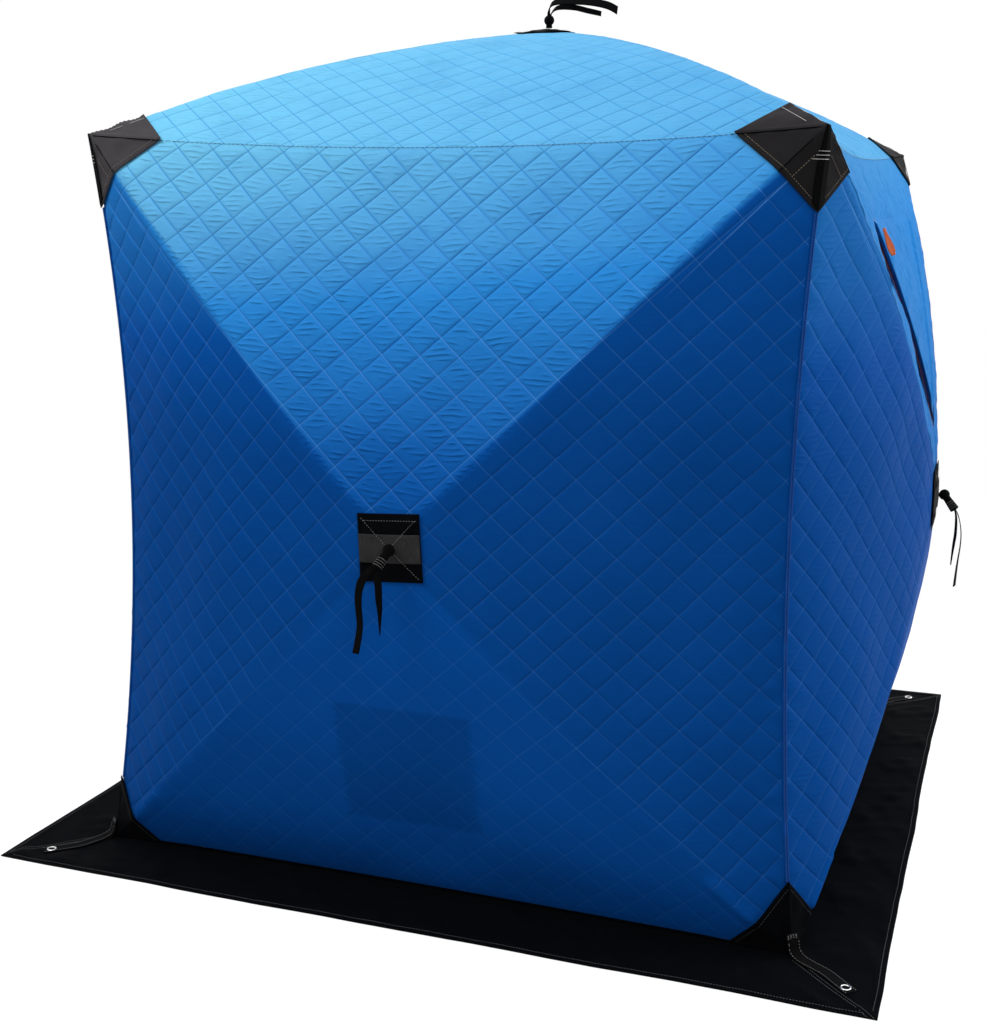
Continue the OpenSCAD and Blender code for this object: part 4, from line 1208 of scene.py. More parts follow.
class HUT_OT_windows(Operator):
    """Makes the plain window covers with their raised edges, and the zips"""

    bl_idname = "hut.windows"
    bl_label = "Windows and zips"

    def execute(self, context):
        edging = Stitches(0.010, 0.0104, 0.0004)
        for side in ("right", "left"):
            self.cover(side)
            self.zip(side, edging)
        edging.sew("zip_edging", "orange", "zip_tape")
        self.door_zip()
        return {"FINISHED"}

    def top(self):
        """Height of a cover's upper edge."""
        t = hut("trim")
        return t.win_top + t.win_lap + t.win_rise

    def edge(self, wall, k, grow):
        """A point on the slanted sides: k is -1 at the near top, 0 at the tip and 1 at the far top."""
        s, t = hut("shape"), hut("trim")
        slope = (t.win_top - t.win_tip) / t.win_half
        tip, top = t.win_tip - grow * math.hypot(1.0, slope), self.top()
        half = (top - tip) / slope
        return k * half / s.top_half, lerp(wall.v_of_z(tip), wall.v_of_z(top), np.abs(k))

    def cover(self, side):
        s, t, wall = hut("shape"), hut("trim"), Cloth(side)
        top = wall.v_of_z(self.top())

        def place(flat):
            k, j = flat[:, 0] * 0.985, (flat[:, 1] + 1.0) / 2.0
            u, low = self.edge(wall, k, t.win_lap)
            v = lerp(low, top, j)
            x, z = u * s.top_half, v * (s.corner_z - s.hub_z)
            tip = self.edge(wall, np.zeros(1), t.win_lap)[1][0]
            half = self.edge(wall, np.ones(1), t.win_lap)[0][0]
            inside = inside_by([(0.0, tip), (half, top), (-half, top)], u, v)
            flap = inside_by([(0.0, tip), (half, top), (half, 2.0), (-half, 2.0), (-half, top)], u, v)
            free = smooth(0.012, 0.0, flap) * smooth(0.02, 0.12, np.abs(k)) * smooth(1.0, 0.96, np.abs(flat[:, 0]))
            slack = smooth(0.0, 0.05, inside)
            d = s.layer_gap + t.cover_t + 0.0055 * free
            d = d + slack * (0.0012 * ripple(x, z, 0.045, 61 + wall.turns) + 0.0022 * ripple(x, z, 0.16, 63))
            d = lerp(s.layer_gap + 0.0012, np.maximum(d, s.layer_gap + t.cover_t * 0.8), smooth(0.0, 0.03, top - v))
            return wall.points(u, v, d), cloth_values(wall, u, v, -1.0)

        cover = piece(side + "_cover", plain_grid(150, 70), ["quilt"], [side + "_window_cover"], place)
        thicken(cover, t.cover_t * 0.7)

    def tape(self, name, slot, nodes, wall, path, width, count):
        """A zip: a woven tape with a raised coil along its middle; path gives u, v for k and a shift."""
        s, t = hut("shape"), hut("trim")

        def place(flat):
            w = flat[:, 1]
            u, v = path((flat[:, 0] + 1.0) / 2.0, w * width / 2.0)
            coil = smooth(0.30, 0.12, np.abs(w))
            return wall.points(u, v, s.layer_gap + 0.0012 + coil * (t.zip_t - 0.0012)), {}

        bm = plain_grid(count, 12)
        return thicken(piece(name, bm, ["zip"], nodes, place), 0.001)

    def zip(self, side, edging):
        t, s, wall = hut("trim"), hut("shape"), Cloth(side)
        middle = t.win_lap + t.zip_gap + t.zip_w / 2.0

        def path(k, shift):
            at = lerp(*ZIP_ENDS, k)
            stray = 0.0018 * np.sin(37.0 * at) + 0.0012 * np.sin(83.0 * at + 1.0)
            return self.edge(wall, at, middle + shift * lerp(1.2, 0.45, np.abs(at)) + stray)

        k = np.linspace(0.0, 1.0, 200)
        rim = self.edge(wall, lerp(*ZIP_ENDS, k), middle + t.zip_w * 0.72)
        line = wall.points(*rim, 0.0004)
        edging.row(line, wall.points(*rim, 0.02) - line)
        u = np.linspace(-0.97, -0.72, 30) * self.edge(wall, np.ones(1), t.win_lap)[0][0]
        v = wall.v_of_z(self.top() - 0.012)
        bar = wall.points(u, v, s.layer_gap + t.cover_t)
        edging.row(bar, wall.points(u, v, 0.03) - bar)
        self.tape(side + "_zip", "zip_tape", [side + "_window_zip"], wall, path, t.zip_w, 240)

    def door_zip(self):
        t, wall = hut("trim"), Cloth("back")

        def path(k, shift):
            rims = [np.array(door_outline(t.door_gap / 2 + g)) for g in (-t.door_zip_w / 2, t.door_zip_w / 2)]
            loops = [np.vstack((r, r[:1])) for r in rims]
            at = k * (len(loops[0]) - 1)
            w = shift / t.door_zip_w + 0.5
            ends = [[np.interp(at, np.arange(len(l)), l[:, c]) for c in (0, 1)] for l in loops]
            return [lerp(ends[0][c], ends[1][c], w) for c in (0, 1)]

        self.tape("door_zip_tape", "zip_tape", ["door_zip"], wall, path, t.door_zip_w, 23 * 16)


class HUT_OT_zip_pulls(Operator):
    """Moulds the orange zip pulls"""

    bl_idname = "hut.zip_pulls"
    bl_label = "Zip pulls"

    def execute(self, context):
        t, s = hut("trim"), hut("shape")
        bm = bmesh.new()
        wall = Cloth("right")
        door = ((t.door_edge + t.door_gap / 2) / s.base_half, 0.04, t.zip_t, 8.0)
        window = (-t.pull_side / s.top_half, wall.v_of_z(t.win_top + t.win_lap / 2), t.cover_t, 134.0)
        for side, spot in (("right", window), ("left", window), ("back", door)):
            self.pull(bm, Cloth(side), *spot)
        thicken(piece("zip_pull_tabs", bm, ["orange"], ["zip_pulls"]), 0.0026)
        return {"FINISHED"}

    def pull(self, bm, wall, u, v, under, stand):
        """A leaf-shaped tab that hangs from its slider and stands off the cloth by an angle."""
        t, s = hut("trim"), hut("shape")
        d = s.layer_gap + under + 0.0032
        low = v - t.pull_len / (s.corner_z - s.hub_z)
        top, end, out = (wall.points(*p) for p in ((u, v, d), (u, low, d), (u, v, d + 0.01)))
        down, away = unit(end - top), unit(out - top)
        side = unit(np.cross(down, away))
        turn = math.radians(stand)
        across = math.cos(turn) * side + math.sin(turn) * away
        face = unit(np.cross(across, down))
        made = bmesh.ops.create_grid(bm, x_segments=10, y_segments=24, size=1.0)["verts"]
        spots = np.array([vert.co for vert in made])
        a, k = spots[:, 0], (1.0 - spots[:, 1]) / 2.0
        widest = 0.72
        rounded = np.sqrt(np.maximum(1.0 - np.maximum((k - widest) / 0.285, 0.0) ** 2, 0.0))
        half = t.pull_w * 0.38 * (lerp(0.16, 1.0, smooth(0.0, widest, k)) * rounded)
        lift = math.sin(turn) * (t.pull_w * 0.50 + 0.004 * k)
        points = top + stack(*(k * t.pull_len * 0.82 * c for c in down)) + (a * half)[:, None] * across
        points = points + lift[:, None] * away + (0.0016 * (1.0 - a * a))[:, None] * face
        move(made, points)


class HUT_OT_skirt(Operator):
    """Lays the black skirt on the ground round the walls"""

    bl_idname = "hut.skirt"
    bl_label = "Skirt"

    def execute(self, context):
        t, s = hut("trim"), hut("shape")
        hems = Stitches(0.0044, 0.0066, 0.0007)
        for side in SIDES:
            flat = plain_grid(220, 64)
            bmesh.ops.reverse_faces(flat, faces=flat.faces)
            skirt = piece(
                side + "_skirt_cloth", flat, ["skirt"], [side + "_skirt"],
                lambda flat, side=side: (self.points(Cloth(side), *self.spread(flat)), {}))
            thicken(skirt, t.skirt_t * 0.8)
            self.sew(hems, Cloth(side))
        hems.sew("skirt_stitching", "dim", "skirt_cloth")
        return {"FINISHED"}

    def spread(self, flat):
        """u along the wall, and w from the sewn edge at 0 through the turn to the hem at 1."""
        return flat[:, 0], (flat[:, 1] + 1.0) / 2.0

    def points(self, wall, u, w, lift=0.0):
        t, s = hut("trim"), hut("shape")
        near = (t.foot_run + t.skirt_ramp - (1.0 - np.abs(u)) * s.base_half) / (t.skirt_ramp - 0.008)
        gap = s.layer_gap + t.skirt_step * np.clip(near, 0.0, 1.0) + t.skirt_t + lift
        local = Cloth("front")
        rise, turn = ((z - s.hub_z) / s.hub_z for z in (t.skirt_rise, t.skirt_t + t.skirt_turn))
        sewn, bend = local.points(u, rise, gap), local.points(u, turn, gap)
        foot = local.points(u, -1.0, gap)
        foot[:, 2] = t.skirt_t + lift
        start = foot + t.skirt_turn * stack(u, -1.0, 0.0)
        hem = stack(u * t.skirt_half, -t.skirt_half, t.skirt_t + lift)
        w_turn, w_flat = 0.10, 0.26
        k = np.clip(w / w_turn, 0.0, 1.0)[:, None]
        m = np.clip((w - w_turn) / (w_flat - w_turn), 0.0, 1.0)[:, None]
        n = np.clip((w - w_flat) / (1.0 - w_flat), 0.0, 1.0)[:, None]
        round_turn = (1 - m) ** 2 * bend + 2 * m * (1 - m) * foot + m**2 * start
        p = np.where((w <= w_flat)[:, None], round_turn, lerp(start, hem, n))
        p = np.where((w <= w_turn)[:, None], lerp(sewn, bend, k), p)
        return self.slack(turned(p, wall.turns), w)

    def slack(self, p, w):
        """Soft waves, hem and wavy edge of the part that lies on the ground."""
        t = hut("trim")
        x, y = p[:, 0], p[:, 1]
        free = smooth(0.24, 0.5, w)
        diagonal = np.abs(np.abs(x) - np.abs(y)) / math.sqrt(2.0)
        reach = np.hypot(np.abs(x), np.abs(y)) - 1.24
        under = smooth(0.075, 0.03, diagonal) * smooth(0.22, 0.17, reach)
        wave = np.clip(0.35 + 0.5 * ripple(x, y, 0.21, 71) + 0.35 * ripple(x, y, 0.085, 72), 0.0, 2.0)
        flat = smooth(0.985, 0.88, w)
        p[:, 2] += t.skirt_wave * free * flat * wave * (1.0 - 0.9 * under)
        out = np.maximum(np.abs(x), np.abs(y))
        hem = smooth(t.skirt_half - 0.022, t.skirt_half - 0.019, out)
        p[:, 2] += 0.0012 * hem * (1.0 - under)
        edge = smooth(0.75, 1.0, w)[:, None]
        stray = 0.0016 * ripple(x, y, 0.55, 75) + 0.0004 * ripple(x, y, 0.16, 76)
        away = stack(x, y, 0.0) / np.maximum(out, 1e-6)[:, None]
        return p + edge * away * (stray + 0.002)[:, None]

    def sew(self, hems, wall):
        """A row along the hem and two beside each mitred corner."""
        up = (0.0, 0.0, 1.0)
        u = np.linspace(-0.985, 0.985, 300)
        hems.row(self.points(wall, u, np.full_like(u, 0.955), 0.0008), up)
        w = np.linspace(0.30, 0.99, 60)
        line, inner = (self.points(wall, np.full_like(w, end), w, 0.0008) for end in (1.0, 0.9))
        for inset in (0.005, 0.019):
            hems.row(line + unit(inner - line) * inset, up)


class HUT_OT_corners(Operator):
    """Sews the upper caps and the lower caps over the corners"""

    bl_idname = "hut.corners"
    bl_label = "Corner caps"

    def execute(self, context):
        t, s = hut("trim"), hut("shape")
        drop, run = cap_shares(t.cap_drop, t.cap_run, s.top_half)
        rise, foot = cap_shares(t.foot_rise, t.foot_run, s.base_half)
        caps, feet = Stitches(0.0044, 0.0066, 0.0006), Stitches(0.004, 0.0066, 0.0004)
        tacks, fold_shades, strip = Stitches(0.0030, 0.0032, 0.0009), Stitches(0.016, 0.006, 0.0012), bmesh.new()
        for k, corner in enumerate(CORNERS):
            near, far, roof = Cloth(SIDES[k]), Cloth(SIDES[(k + 1) % 4]), Cloth("roof")
            ru, rv = ((1, -1), (1, 1), (-1, 1), (-1, -1))[k]
            faces = [
                (near, (1, 1), (1, 1 - drop), (1 - run, 1)),
                (far, (-1, 1), (-1 + run, 1), (-1, 1 - drop)),
                (roof, (ru, rv), (ru * (1 - run), rv), (ru, rv * (1 - run))),
            ]
            self.cover(corner + "_cap_cloth", faces, "cap", "corner_cloth", corner + "_cap", caps)
            self.dress(near, far, (ru, rv), caps, tacks, fold_shades, strip)
            faces = [
                (near, (1, -1), (1 - foot, -1), (1, -1 + rise)),
                (far, (-1, -1), (-1, -1 + rise), (-1 + foot, -1)),
            ]
            self.cover(corner + "_foot_cloth", faces, "foot", "foot_cloth", corner + "_foot", feet)
        face_out(strip)
        thicken(piece("cap_webbing", strip, ["webbing"]), 0.0012)
        caps.sew("cap_stitching", "tan", "corner_cloth")
        fold_shades.sew("cap_folds", "crease", "corner_cloth")
        tacks.sew("cap_bar_tacks", "white", "webbing")
        feet.sew("foot_stitching", "dim", "foot_cloth")
        return {"FINISHED"}

    def cover(self, name, faces, finish, slot, node, thread):
        """One cap from a triangle of cloth on each sheet that meets at the corner."""
        s, top = hut("shape"), layer_top()
        bm = bmesh.new()
        area = 0.0
        for number, (cloth, corner, first, second) in enumerate(faces):
            tri = bmesh.new()
            bmesh.ops.create_circle(tri, cap_ends=True, segments=3, radius=1.0)
            corners = np.array([v.co.xy for v in tri.verts])
            bmesh.ops.subdivide_edges(tri, edges=tri.edges[:], cuts=27, use_grid_fill=True)
            spots = np.array([v.co.xy for v in tri.verts])
            basis = np.vstack((corners.T, np.ones(3)))
            shares = np.linalg.solve(basis, np.vstack((spots.T, np.ones(len(spots))))).T
            u, v = (shares @ np.array((corner, first, second), float)).T
            hem = smooth(0.06, 0.045, shares[:, 0])
            seam = np.minimum(shares[:, 1], shares[:, 2])
            fold = smooth(0.05, 0.0, seam)
            x, y = u * s.base_half, v * s.base_half
            tuck = 0.0022 * smooth(0.006, 0.0, np.abs(beside_pole(u, v) - 0.006)) * smooth(0.0, 0.1, seam)
            if cloth.roof:
                tuck = np.zeros_like(u)
            d = top + 0.0009 * hem + 0.0016 * fold - tuck
            d = d + 0.0010 * ripple(x, y, 0.06, 81 + number) * (1.0 - hem) * (1.0 - fold)
            points = cloth.points(u, v, d)
            move(tri.verts, points)
            part = bpy.data.meshes.new("part")
            tri.to_mesh(part)
            tri.free()
            bm.from_mesh(part)
            bpy.data.meshes.remove(part)
            a, b, c = (points[np.argmax(shares[:, i])] for i in range(3))
            area += np.linalg.norm(np.cross(b - a, c - a)) / 2.0
            if not cloth.roof:
                self.sew(thread, cloth, corner, first, second, top + 0.0018)
        bmesh.ops.remove_doubles(bm, verts=bm.verts, dist=0.0002)
        bmesh.ops.recalc_face_normals(bm, faces=bm.faces)
        face_out(bm)
        cap = thicken(piece(name, bm, [finish], [node]), s.layer_t)
        [cloth.node + "_quilt" for cloth, *_ in faces]

    def sew(self, thread, cloth, corner, first, second, d):
        """A row along the hem."""
        c, a, b = (np.array(p, float) for p in (corner, first, second))
        inset, short = 0.08, 0.03
        a, b = lerp(a, c, inset), lerp(b, c, inset)
        thread.on_cloth(cloth, lerp(a, b, short), lerp(b, a, short), d)

    def over_seam(self, near, far, a, v, d):
        """Points beside the upright seam: a is a distance along the cloth, negative on the near wall."""
        u = 1.0 - np.abs(a) / hut("shape").top_half
        return np.where((a < 0)[:, None], near.points(u, v, d), far.points(-u, v, d))

    def dress(self, near, far, roof_corner, caps, tacks, fold_shades, strip):
        """The webbing down an upper cap's edge, its bar tacks, dark lines painted as the folds' shade, and the rows
        beside the poles.
        """
        t, top = hut("trim"), layer_top()
        drop, run = cap_shares(t.cap_drop, t.cap_run, hut("shape").top_half)
        made = bmesh.ops.create_grid(strip, x_segments=14, y_segments=30, size=1.0)["verts"]
        spots = np.array([vert.co for vert in made])
        down = (1.0 - spots[:, 1]) / 2.0 * 0.95 + 0.02
        half = np.minimum(lerp(0.006, 0.015, smooth(0.0, 0.5, down)), t.cap_run * (1.0 - down) * 0.7 + 0.001)
        a = np.where(np.abs(spots[:, 0]) < 1e-6, -1e-6, spots[:, 0] * half)
        move(made, self.over_seam(near, far, a, 1.0 - drop * down, top + 0.0030))
        for share_down, reach in ((0.315, 0.016), (0.36, 0.019), (0.405, 0.026)):
            a = np.linspace(-reach, 0.011, 24)
            v = np.full_like(a, 1.0 - drop * share_down)
            line = self.over_seam(near, far, a, v, top + 0.0036)
            tacks.row(line, self.over_seam(near, far, a, v, top + 0.02) - line)
        for cloth, sign in ((near, 1.0), (far, -1.0)):
            beside = 0.022
            ends = [(sign * (1.0 - e + beside), 1.0 - e - beside) for e in (0.045, 0.093)]
            caps.on_cloth(cloth, *ends, top + 0.0012)
            # Painted shade: dark lines along the pole's fold and under the roof seam.
            fold_shades.on_cloth(cloth, *[(sign * (1.0 - e), 1.0 - e) for e in (0.03, 0.10)], top + 0.0004)
            fold_shades.on_cloth(cloth, *[(sign * (1.0 - e), 0.994) for e in (0.02, run)], top + 0.0016)
        ru, rv = roof_corner
        beside = 0.036
        for a, b in ((beside, 0.0), (0.0, beside)):
            ends = [(ru * (1.0 - e - a), rv * (1.0 - e - b)) for e in (0.02, 0.09)]
            tacks.on_cloth(Cloth("roof"), *ends, top + 0.0014)


class HUT_OT_bindings(Operator):
    """Binds the upright seams, and lays long navy stitches along the roof's seams as their painted shade"""

    bl_idname = "hut.bindings"
    bl_label = "Seam bindings"

    def execute(self, context):
        t, s = hut("trim"), hut("shape")
        drop, _ = cap_shares(t.cap_drop, 0.0, 1.0)
        rise, _ = cap_shares(t.foot_rise, 0.0, 1.0)
        thread = Stitches(0.0036, 0.0058, 0.0006)
        bm = bmesh.new()
        v = np.linspace(-1 + rise - 0.006, 1 - drop + 0.006, 240)
        run = t.cap_run / s.top_half
        # Long overlapping navy stitches below each roof seam: painted shade of the seam's line.
        edge = Stitches(0.0125, 0.0115, 0.0007)
        for side in SIDES:
            edge.on_cloth(Cloth(side), (run - 1.0, 0.9985), (1.0 - run, 0.9985), 0.0004, 120)
        for k in range(4):
            out, side = turned(OUTWARD, k), turned(ASIDE, k)
            line = Cloth(SIDES[k]).points(np.ones_like(v), v, 0.0)
            made = bmesh.ops.create_grid(bm, x_segments=len(v) - 1, y_segments=10, size=1.0)["verts"]
            for vert in made:
                i, w = round((vert.co.x + 1.0) / 2.0 * (len(v) - 1)), vert.co.y
                rise_of = t.bind_t * ((1.0 - w * w) ** 0.5 - 0.5 * max(0.0, 1.0 - abs(w) / 0.3)) - 0.0016 * w * w
                vert.co = line[i] + out * (rise_of + 0.0003) + side * (w * t.bind_w / 2.0)
            for w in (-0.5, 0.5):
                thread.row(line + out * (t.bind_t * 0.88 + 0.0003) + side * (w * t.bind_w / 2.0), out)
        face_out(bm)
        thicken(piece("seam_binding_tape", bm, ["binding"], ["seam_bindings"]), 0.001)
        thread.sew("binding_stitching", "navy", "binding")
        edge.sew("roof_seam_stitching", "seam", "binding")
        return {"FINISHED"}


class HUT_OT_anchors(Operator):
    """Makes the anchor straps and their grommets"""

    bl_idname = "hut.anchors"
    bl_label = "Anchor straps"

    def execute(self, context):
        t = hut("trim")
        thread = Stitches(0.0042, 0.0070, 0.0005)
        count, wide = 90, t.anchor_w * 0.82
        for k, corner in enumerate(CORNERS):
            line = turned(spline(self.route(), count), k)
            across = turned(np.tile(ASIDE, (count, 1)), k)
            ribbon(corner + "_anchor", line, across, wide, t.anchor_t, "webbing",
                   ["anchor_straps"] if k == 0 else ())
            normal = unit(np.cross(unit(np.gradient(line, axis=0)), across))
            face = line + normal * (t.anchor_t / 2 + 0.0004)
            for w in (-0.40, 0.40):
                thread.row(face[10:] + across[10:] * wide * w, normal[10:])
            for i in (2, 4, 6):
                w = np.linspace(-0.46, 0.46, 12)
                bow = face[i] + (face[i + 3] - face[i]) * (w * w * 2.4)[:, None]
                thread.row(bow + across[i] * (wide * w)[:, None], normal[i])
        thread.sew("anchor_stitching", "pale", "webbing")
        self.grommets()
        return {"FINISHED"}

    def route(self):
        """The strap's middle line at the front right corner, from its sewn end to its loose end."""
        t, s = hut("trim"), hut("shape")
        wall, mid, top = Cloth("front"), t.anchor_t / 2, layer_top()
        lift = (top + t.skirt_step + t.skirt_t) * math.sqrt(2.0) + 0.0006 + mid

        def seam(z, d):
            return wall.points(1.0, 2.0 * z / s.corner_z - 1.0, 0.0) + d * OUTWARD

        def ground(q, z, shift):
            return np.array((s.base_half, -s.base_half, z)) + q * OUTWARD + t.anchor_shift * shift * ASIDE

        turn, low = t.skirt_turn * math.sqrt(2.0) + lift, t.anchor_z + mid
        return [
            seam(0.052, top * math.sqrt(2.0) + 0.0034 + mid), seam(0.034, lift), seam(0.018, lift + 0.003),
            ground(turn + 0.006, low + 0.004, 0.1), ground(turn + 0.036, low + 0.001, 0.55),
            ground(turn + 0.074, low, 1.05), ground(t.anchor_out - t.flange_r - 0.004, low, 1.0),
            ground(t.anchor_out + 0.6 * t.anchor_tail, low, 0.95),
        ]

    def grommets(self):
        """Rolled rings, spun from a rounded profile."""
        t, s = hut("trim"), hut("shape")
        bm = bmesh.new()
        place, aside = s.base_half + t.anchor_out / math.sqrt(2.0), t.anchor_shift / math.sqrt(2.0)
        half = (t.flange_r - t.grommet_r) * 0.36
        middle = t.flange_r - half
        for k in range(4):
            at = Vector(turned(np.array((place + aside, aside - place, t.anchor_z + t.anchor_t / 2)), k))
            spun_ring(bm, Matrix.Translation(at), middle, (half, 0.0026), 20, 48)
        join_up(bm)
        piece("grommet_rings", bm, ["nickel"], ["grommets"])


class HUT_OT_patches(Operator):
    """Sews the square patches with their grey bands over the hubs"""

    bl_idname = "hut.patches"
    bl_label = "Hub patches"

    def execute(self, context):
        t, s = hut("trim"), hut("shape")
        thread, top = Stitches(0.0042, 0.0064, 0.0004), layer_top()
        for side in PANELS:
            cloth = Cloth(side)
            half = t.patch_half / (s.top_half if cloth.roof else s.base_half)

            def place(flat, cloth=cloth, half=half):
                a, b = flat[:, 0], flat[:, 1]
                u, v = self.askew(a, b, half)
                hem = smooth(0.86, 0.92, np.maximum(np.abs(a), np.abs(b)))
                sag = 0.0010 * ripple(a, b, 0.9, 91 + cloth.turns)
                return cloth.points(u, v, top + 0.0011 * hem + sag * (1 - hem)), {}

            patch = piece(
                side + "_patch_cloth", plain_grid(48, 48), ["patch"], [side + "_patch"], place)
            thicken(patch, s.layer_t * 0.8)
            cloth.node + "_quilt"

            def lay_band(flat, cloth=cloth, half=half):
                a, b = flat[:, 0] * 0.985, lerp(-0.44, 0.40, (flat[:, 1] + 1.0) / 2.0)
                return cloth.points(*self.askew(a, b, half), top + 0.0030 + 0.0005 * ripple(a, b, 0.5, 95)), {}

            thicken(piece(side + "_patch_band", plain_grid(48, 20), ["band"], (), lay_band), 0.0012)
            self.sew(thread, cloth, half, top + 0.0032)
        thread.sew("patch_stitching", "pale", "patch_cloth")
        return {"FINISHED"}

    def askew(self, a, b, half):
        """A patch's own coordinates in u, v: it is sewn on slightly askew."""
        turn = hut("trim").patch_turn
        c, s = math.cos(turn), math.sin(turn)
        return (a * c - b * s) * half, (a * s + b * c) * half

    def sew(self, thread, cloth, half, d):
        """A row near the upper edge and a cross through the middle."""
        rows = ((-0.85, 0.80), (0.88, 0.80)), ((-0.88, 0.88), (0.88, -0.88)), ((0.88, 0.82), (-0.88, -0.88))
        for a, b in rows:
            thread.on_cloth(cloth, self.askew(*a, half), self.askew(*b, half), d)


class HUT_OT_pulls(Operator):
    """Ties the pull straps to the hubs"""

    bl_idname = "hut.pulls"
    bl_label = "Pull straps"

    def execute(self, context):
        t, lift = hut("trim"), layer_top() + 0.0003
        bands = Stitches(0.0030, 0.0034, 0.0005)
        h, r = t.roof_strap_rise, t.roof_strap_run
        standing = [
            ([(0, 0, t.knot_out), (0, -0.002, 0.7 * h), (0.014, 0, h - 0.006), (0.3 * r, 0, h - 0.004),
              (0.6 * r, 0, h - 0.008), (0.85 * r, 0, h - 0.018), (r, 0, h - 0.032)], (1.0, 1.0), (35.0, 70.0)),
            ([(0, 0.003, t.knot_out - 0.002), (0.004, 0.003, 0.55 * h), (0.022, 0.005, 0.75 * h),
              (0.35 * r, 0.007, 0.74 * h), (0.55 * r, 0.009, 0.62 * h), (0.75 * r, 0.010, 0.5 * h)],
             (1.0, 0.6), (20.0, 80.0)),
        ]
        far, near = t.tail_long, t.tail_short
        hanging = [
            ([(-0.010, -0.030, 0.044), (-0.022, -0.040, 0.052), (-0.035, -0.27 * far, 0.060),
              (-0.041, -0.40 * far, 0.065), (-0.041, -0.55 * far, 0.065), (-0.040, -0.70 * far, 0.062),
              (-0.044, -0.83 * far, 0.060), (-0.053, -1.01 * far, 0.058)],
             (0.9, 0.9, 0.88, 0.74, 0.68, 0.66, 0.72, 0.76), (-12.0, 14.0)),
            ([(-0.003, -0.030, 0.042), (-0.006, -0.046, 0.048), (-0.002, -0.40 * near, 0.050),
              (-0.001, -0.57 * near, 0.050), (0.0, -0.70 * near, 0.048), (-0.001, -0.84 * near, 0.046),
              (-0.002, -1.03 * near, 0.044)],
             (0.8, 0.76, 0.70, 0.66, 0.52, 0.32, 0.06), (-10.0, -35.0)),
        ]
        for side in PANELS:
            cloth = Cloth(side)
            for number, (points, widths, twist) in enumerate(standing if cloth.roof else hanging):
                k = np.linspace(0.0, 1.0, 60)
                line = self.out_of(cloth, spline(points, len(k)), lift)
                turn = np.radians(lerp(*twist, k))
                level = (0.0, np.cos(turn)) if cloth.roof else (np.cos(turn), 0.0)
                across = self.out_of(cloth, stack(*level, np.sin(turn)), 0.0, True)
                wide = t.strap_w * np.interp(k, np.linspace(0.0, 1.0, len(widths)), widths)
                ribbon(f"{side}_tail_{number}", line, across, wide, t.strap_t, "webbing")
            self.knot(cloth, side, lift, bands)
        bands.sew("pull_bands", "pale", "webbing")
        return {"FINISHED"}

    def out_of(self, cloth, p, lift, direction=False):
        """From a hub's own axes, across, up and out, to the row frame."""
        p = np.asarray(p, float)
        if cloth.roof:
            moved = p if direction else p + cloth.hub + (0, 0, lift)
        else:
            moved = stack(p[:, 0], -p[:, 2], p[:, 1])
            if not direction:
                moved = moved + cloth.hub + (0.0, -lift, 0.0)
        return turned(moved, cloth.turns)

    def knot(self, cloth, side, lift, bands):
        """A tight knot: three crossing wraps of webbing, and the thick roll from which the tails hang."""
        t = hut("trim")
        bm = bmesh.new()
        middle = Vector((0.0, 0.0, t.knot_out)) if cloth.roof else Vector((0.008, 0.0, 0.016))
        roll_end = Vector((0.0, 0.0, 0.005)) if cloth.roof else Vector((-0.008, -0.033, 0.044))
        self.roll(bm, middle, roll_end, (t.neck_d / 2, t.neck_d / 2 * 1.3) if cloth.roof else ROLL)
        for tilt, spin, grow in ((18.0, 0.0, 0.60), (78.0, 35.0, 0.58), (62.0, -70.0, 0.62)):
            turn = Matrix.Translation(middle) @ Matrix.Rotation(math.radians(spin), 4, "Z")
            turn = turn @ Matrix.Rotation(math.radians(tilt), 4, "X")
            spun_ring(bm, turn, t.knot_r * grow, (t.knot_r * 0.36, t.knot_r * 0.6), 14, 28)
        if not cloth.roof:
            self.bind(cloth, middle, roll_end, lift, bands)
        join_up(bm)
        piece(side + "_knot", bm, ["webbing"], [side + "_pull"],
              lambda flat: (self.out_of(cloth, flat, lift), {}))

    def roll(self, bm, start, end, radii):
        """A thick roll of webbing between two points."""
        along = end - start
        turn = along.to_track_quat("Z", "Y").to_matrix().to_4x4()
        bmesh.ops.create_cone(
            bm, cap_ends=True, segments=20, radius1=radii[0], radius2=radii[1], depth=along.length,
            matrix=Matrix.Translation((start + end) / 2.0) @ turn)

    def bind(self, cloth, start, end, lift, bands):
        """Bands of thread round the lower half of the roll."""
        along = (end - start).normalized()
        x = along.orthogonal().normalized()
        y = along.cross(x)
        k = np.linspace(0.0, 2.0 * math.pi, 40)
        ring = np.outer(np.cos(k), x) + np.outer(np.sin(k), y)
        for at in (0.55, 0.68, 0.81, 0.93):
            radius = lerp(*ROLL, at) + 0.0003
            line = np.array(start.lerp(end, at)) + ring * radius
            bands.row(self.out_of(cloth, line, lift), self.out_of(cloth, ring, 0.0, True))


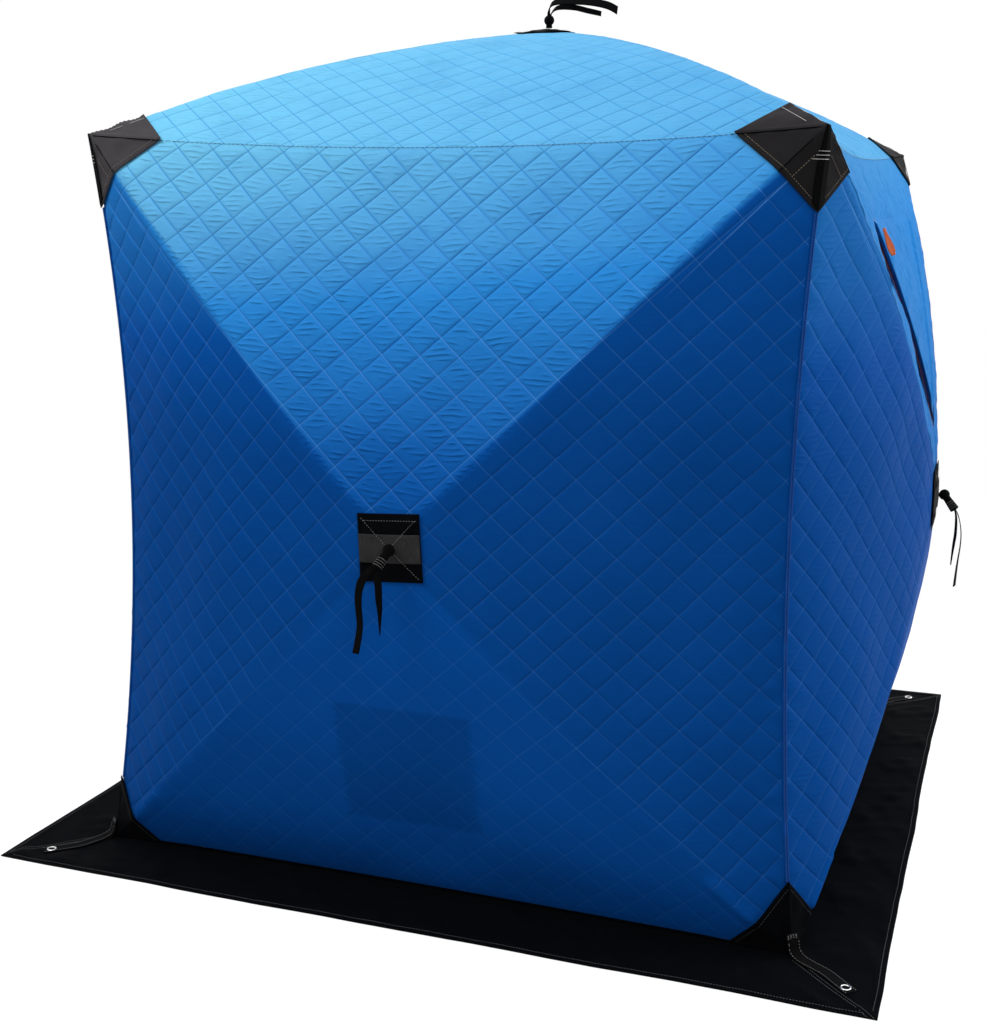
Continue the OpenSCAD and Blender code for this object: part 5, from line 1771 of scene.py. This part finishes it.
class HUT_OT_inside(Operator):
    """Finishes the poles and hubs, and hangs the pocket inside the front wall"""

    bl_idname = "hut.inside"
    bl_label = "Poles, hubs and pocket"

    def execute(self, context):
        t, s = hut("trim"), hut("shape")
        for node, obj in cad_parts.items():
            if node.endswith("_hub") or node.endswith("_poles"):
                obj.data.materials.clear()
                obj.data.materials.append(FINISHES["hub" if node.endswith("_hub") else "pole"]())
        wall = Cloth("front")
        low, high = wall.v_of_z(t.pocket_low), wall.v_of_z(t.pocket_high)
        half = t.pocket_half / s.base_half

        def place(flat):
            k = (flat[:, 1] + 1.0) / 2.0
            slack = 0.004 * (1 - flat[:, 0] ** 2)
            belly = slack * (1 - k) * k * 4 + slack * smooth(0.9, 1.0, k)
            d = -s.cloth_t - s.layer_gap - t.pocket_t * 0.5 - belly
            return wall.points(flat[:, 0] * half, lerp(low, high, k), d), {}

        bm = plain_grid(40, 40)
        bmesh.ops.reverse_faces(bm, faces=bm.faces)
        pocket = piece("pocket_cloth", bm, ["pocket"], ["storage_pocket"], place)
        thicken(pocket, t.pocket_t * 0.4)
        return {"FINISHED"}


class HUT_PT_sidebar(Panel):
    """Lists the hut's pieces in the sidebar"""

    bl_idname = "HUT_PT_sidebar"
    bl_label = "Ice Fishing Hut"
    bl_space_type = "VIEW_3D"
    bl_region_type = "UI"
    bl_category = "Hut"

    def draw(self, context):
        for operator in OPERATORS:
            self.layout.operator(operator.bl_idname)
        for group in GROUPS:
            box = self.layout.box()
            for key in GROUPS[group].__annotations__:
                box.prop(hut(group), key)


GROUPS = {"shape": HutShape, "quilt": HutQuilt, "trim": HutTrim, "colours": HutColours, "stage": HutStage}
OPERATORS = (
    HUT_OT_stage, HUT_OT_walls, HUT_OT_windows, HUT_OT_zip_pulls, HUT_OT_skirt, HUT_OT_corners, HUT_OT_bindings,
    HUT_OT_anchors, HUT_OT_patches, HUT_OT_pulls, HUT_OT_inside,
)


def register():
    for cls in (*GROUPS.values(), *OPERATORS, HUT_PT_sidebar):
        bpy.utils.register_class(cls)
    for group, cls in GROUPS.items():
        setattr(bpy.types.Scene, "hut_" + group, PointerProperty(type=cls))


def unregister():
    for group in GROUPS:
        delattr(bpy.types.Scene, "hut_" + group)
    for cls in reversed((*GROUPS.values(), *OPERATORS, HUT_PT_sidebar)):
        bpy.utils.unregister_class(cls)


def main():
    register()
    lay_out_finishes()
    for operator in OPERATORS:
        group, name = operator.bl_idname.split(".")
        getattr(getattr(bpy.ops, group), name)()


if __name__ == "__main__":
    main()
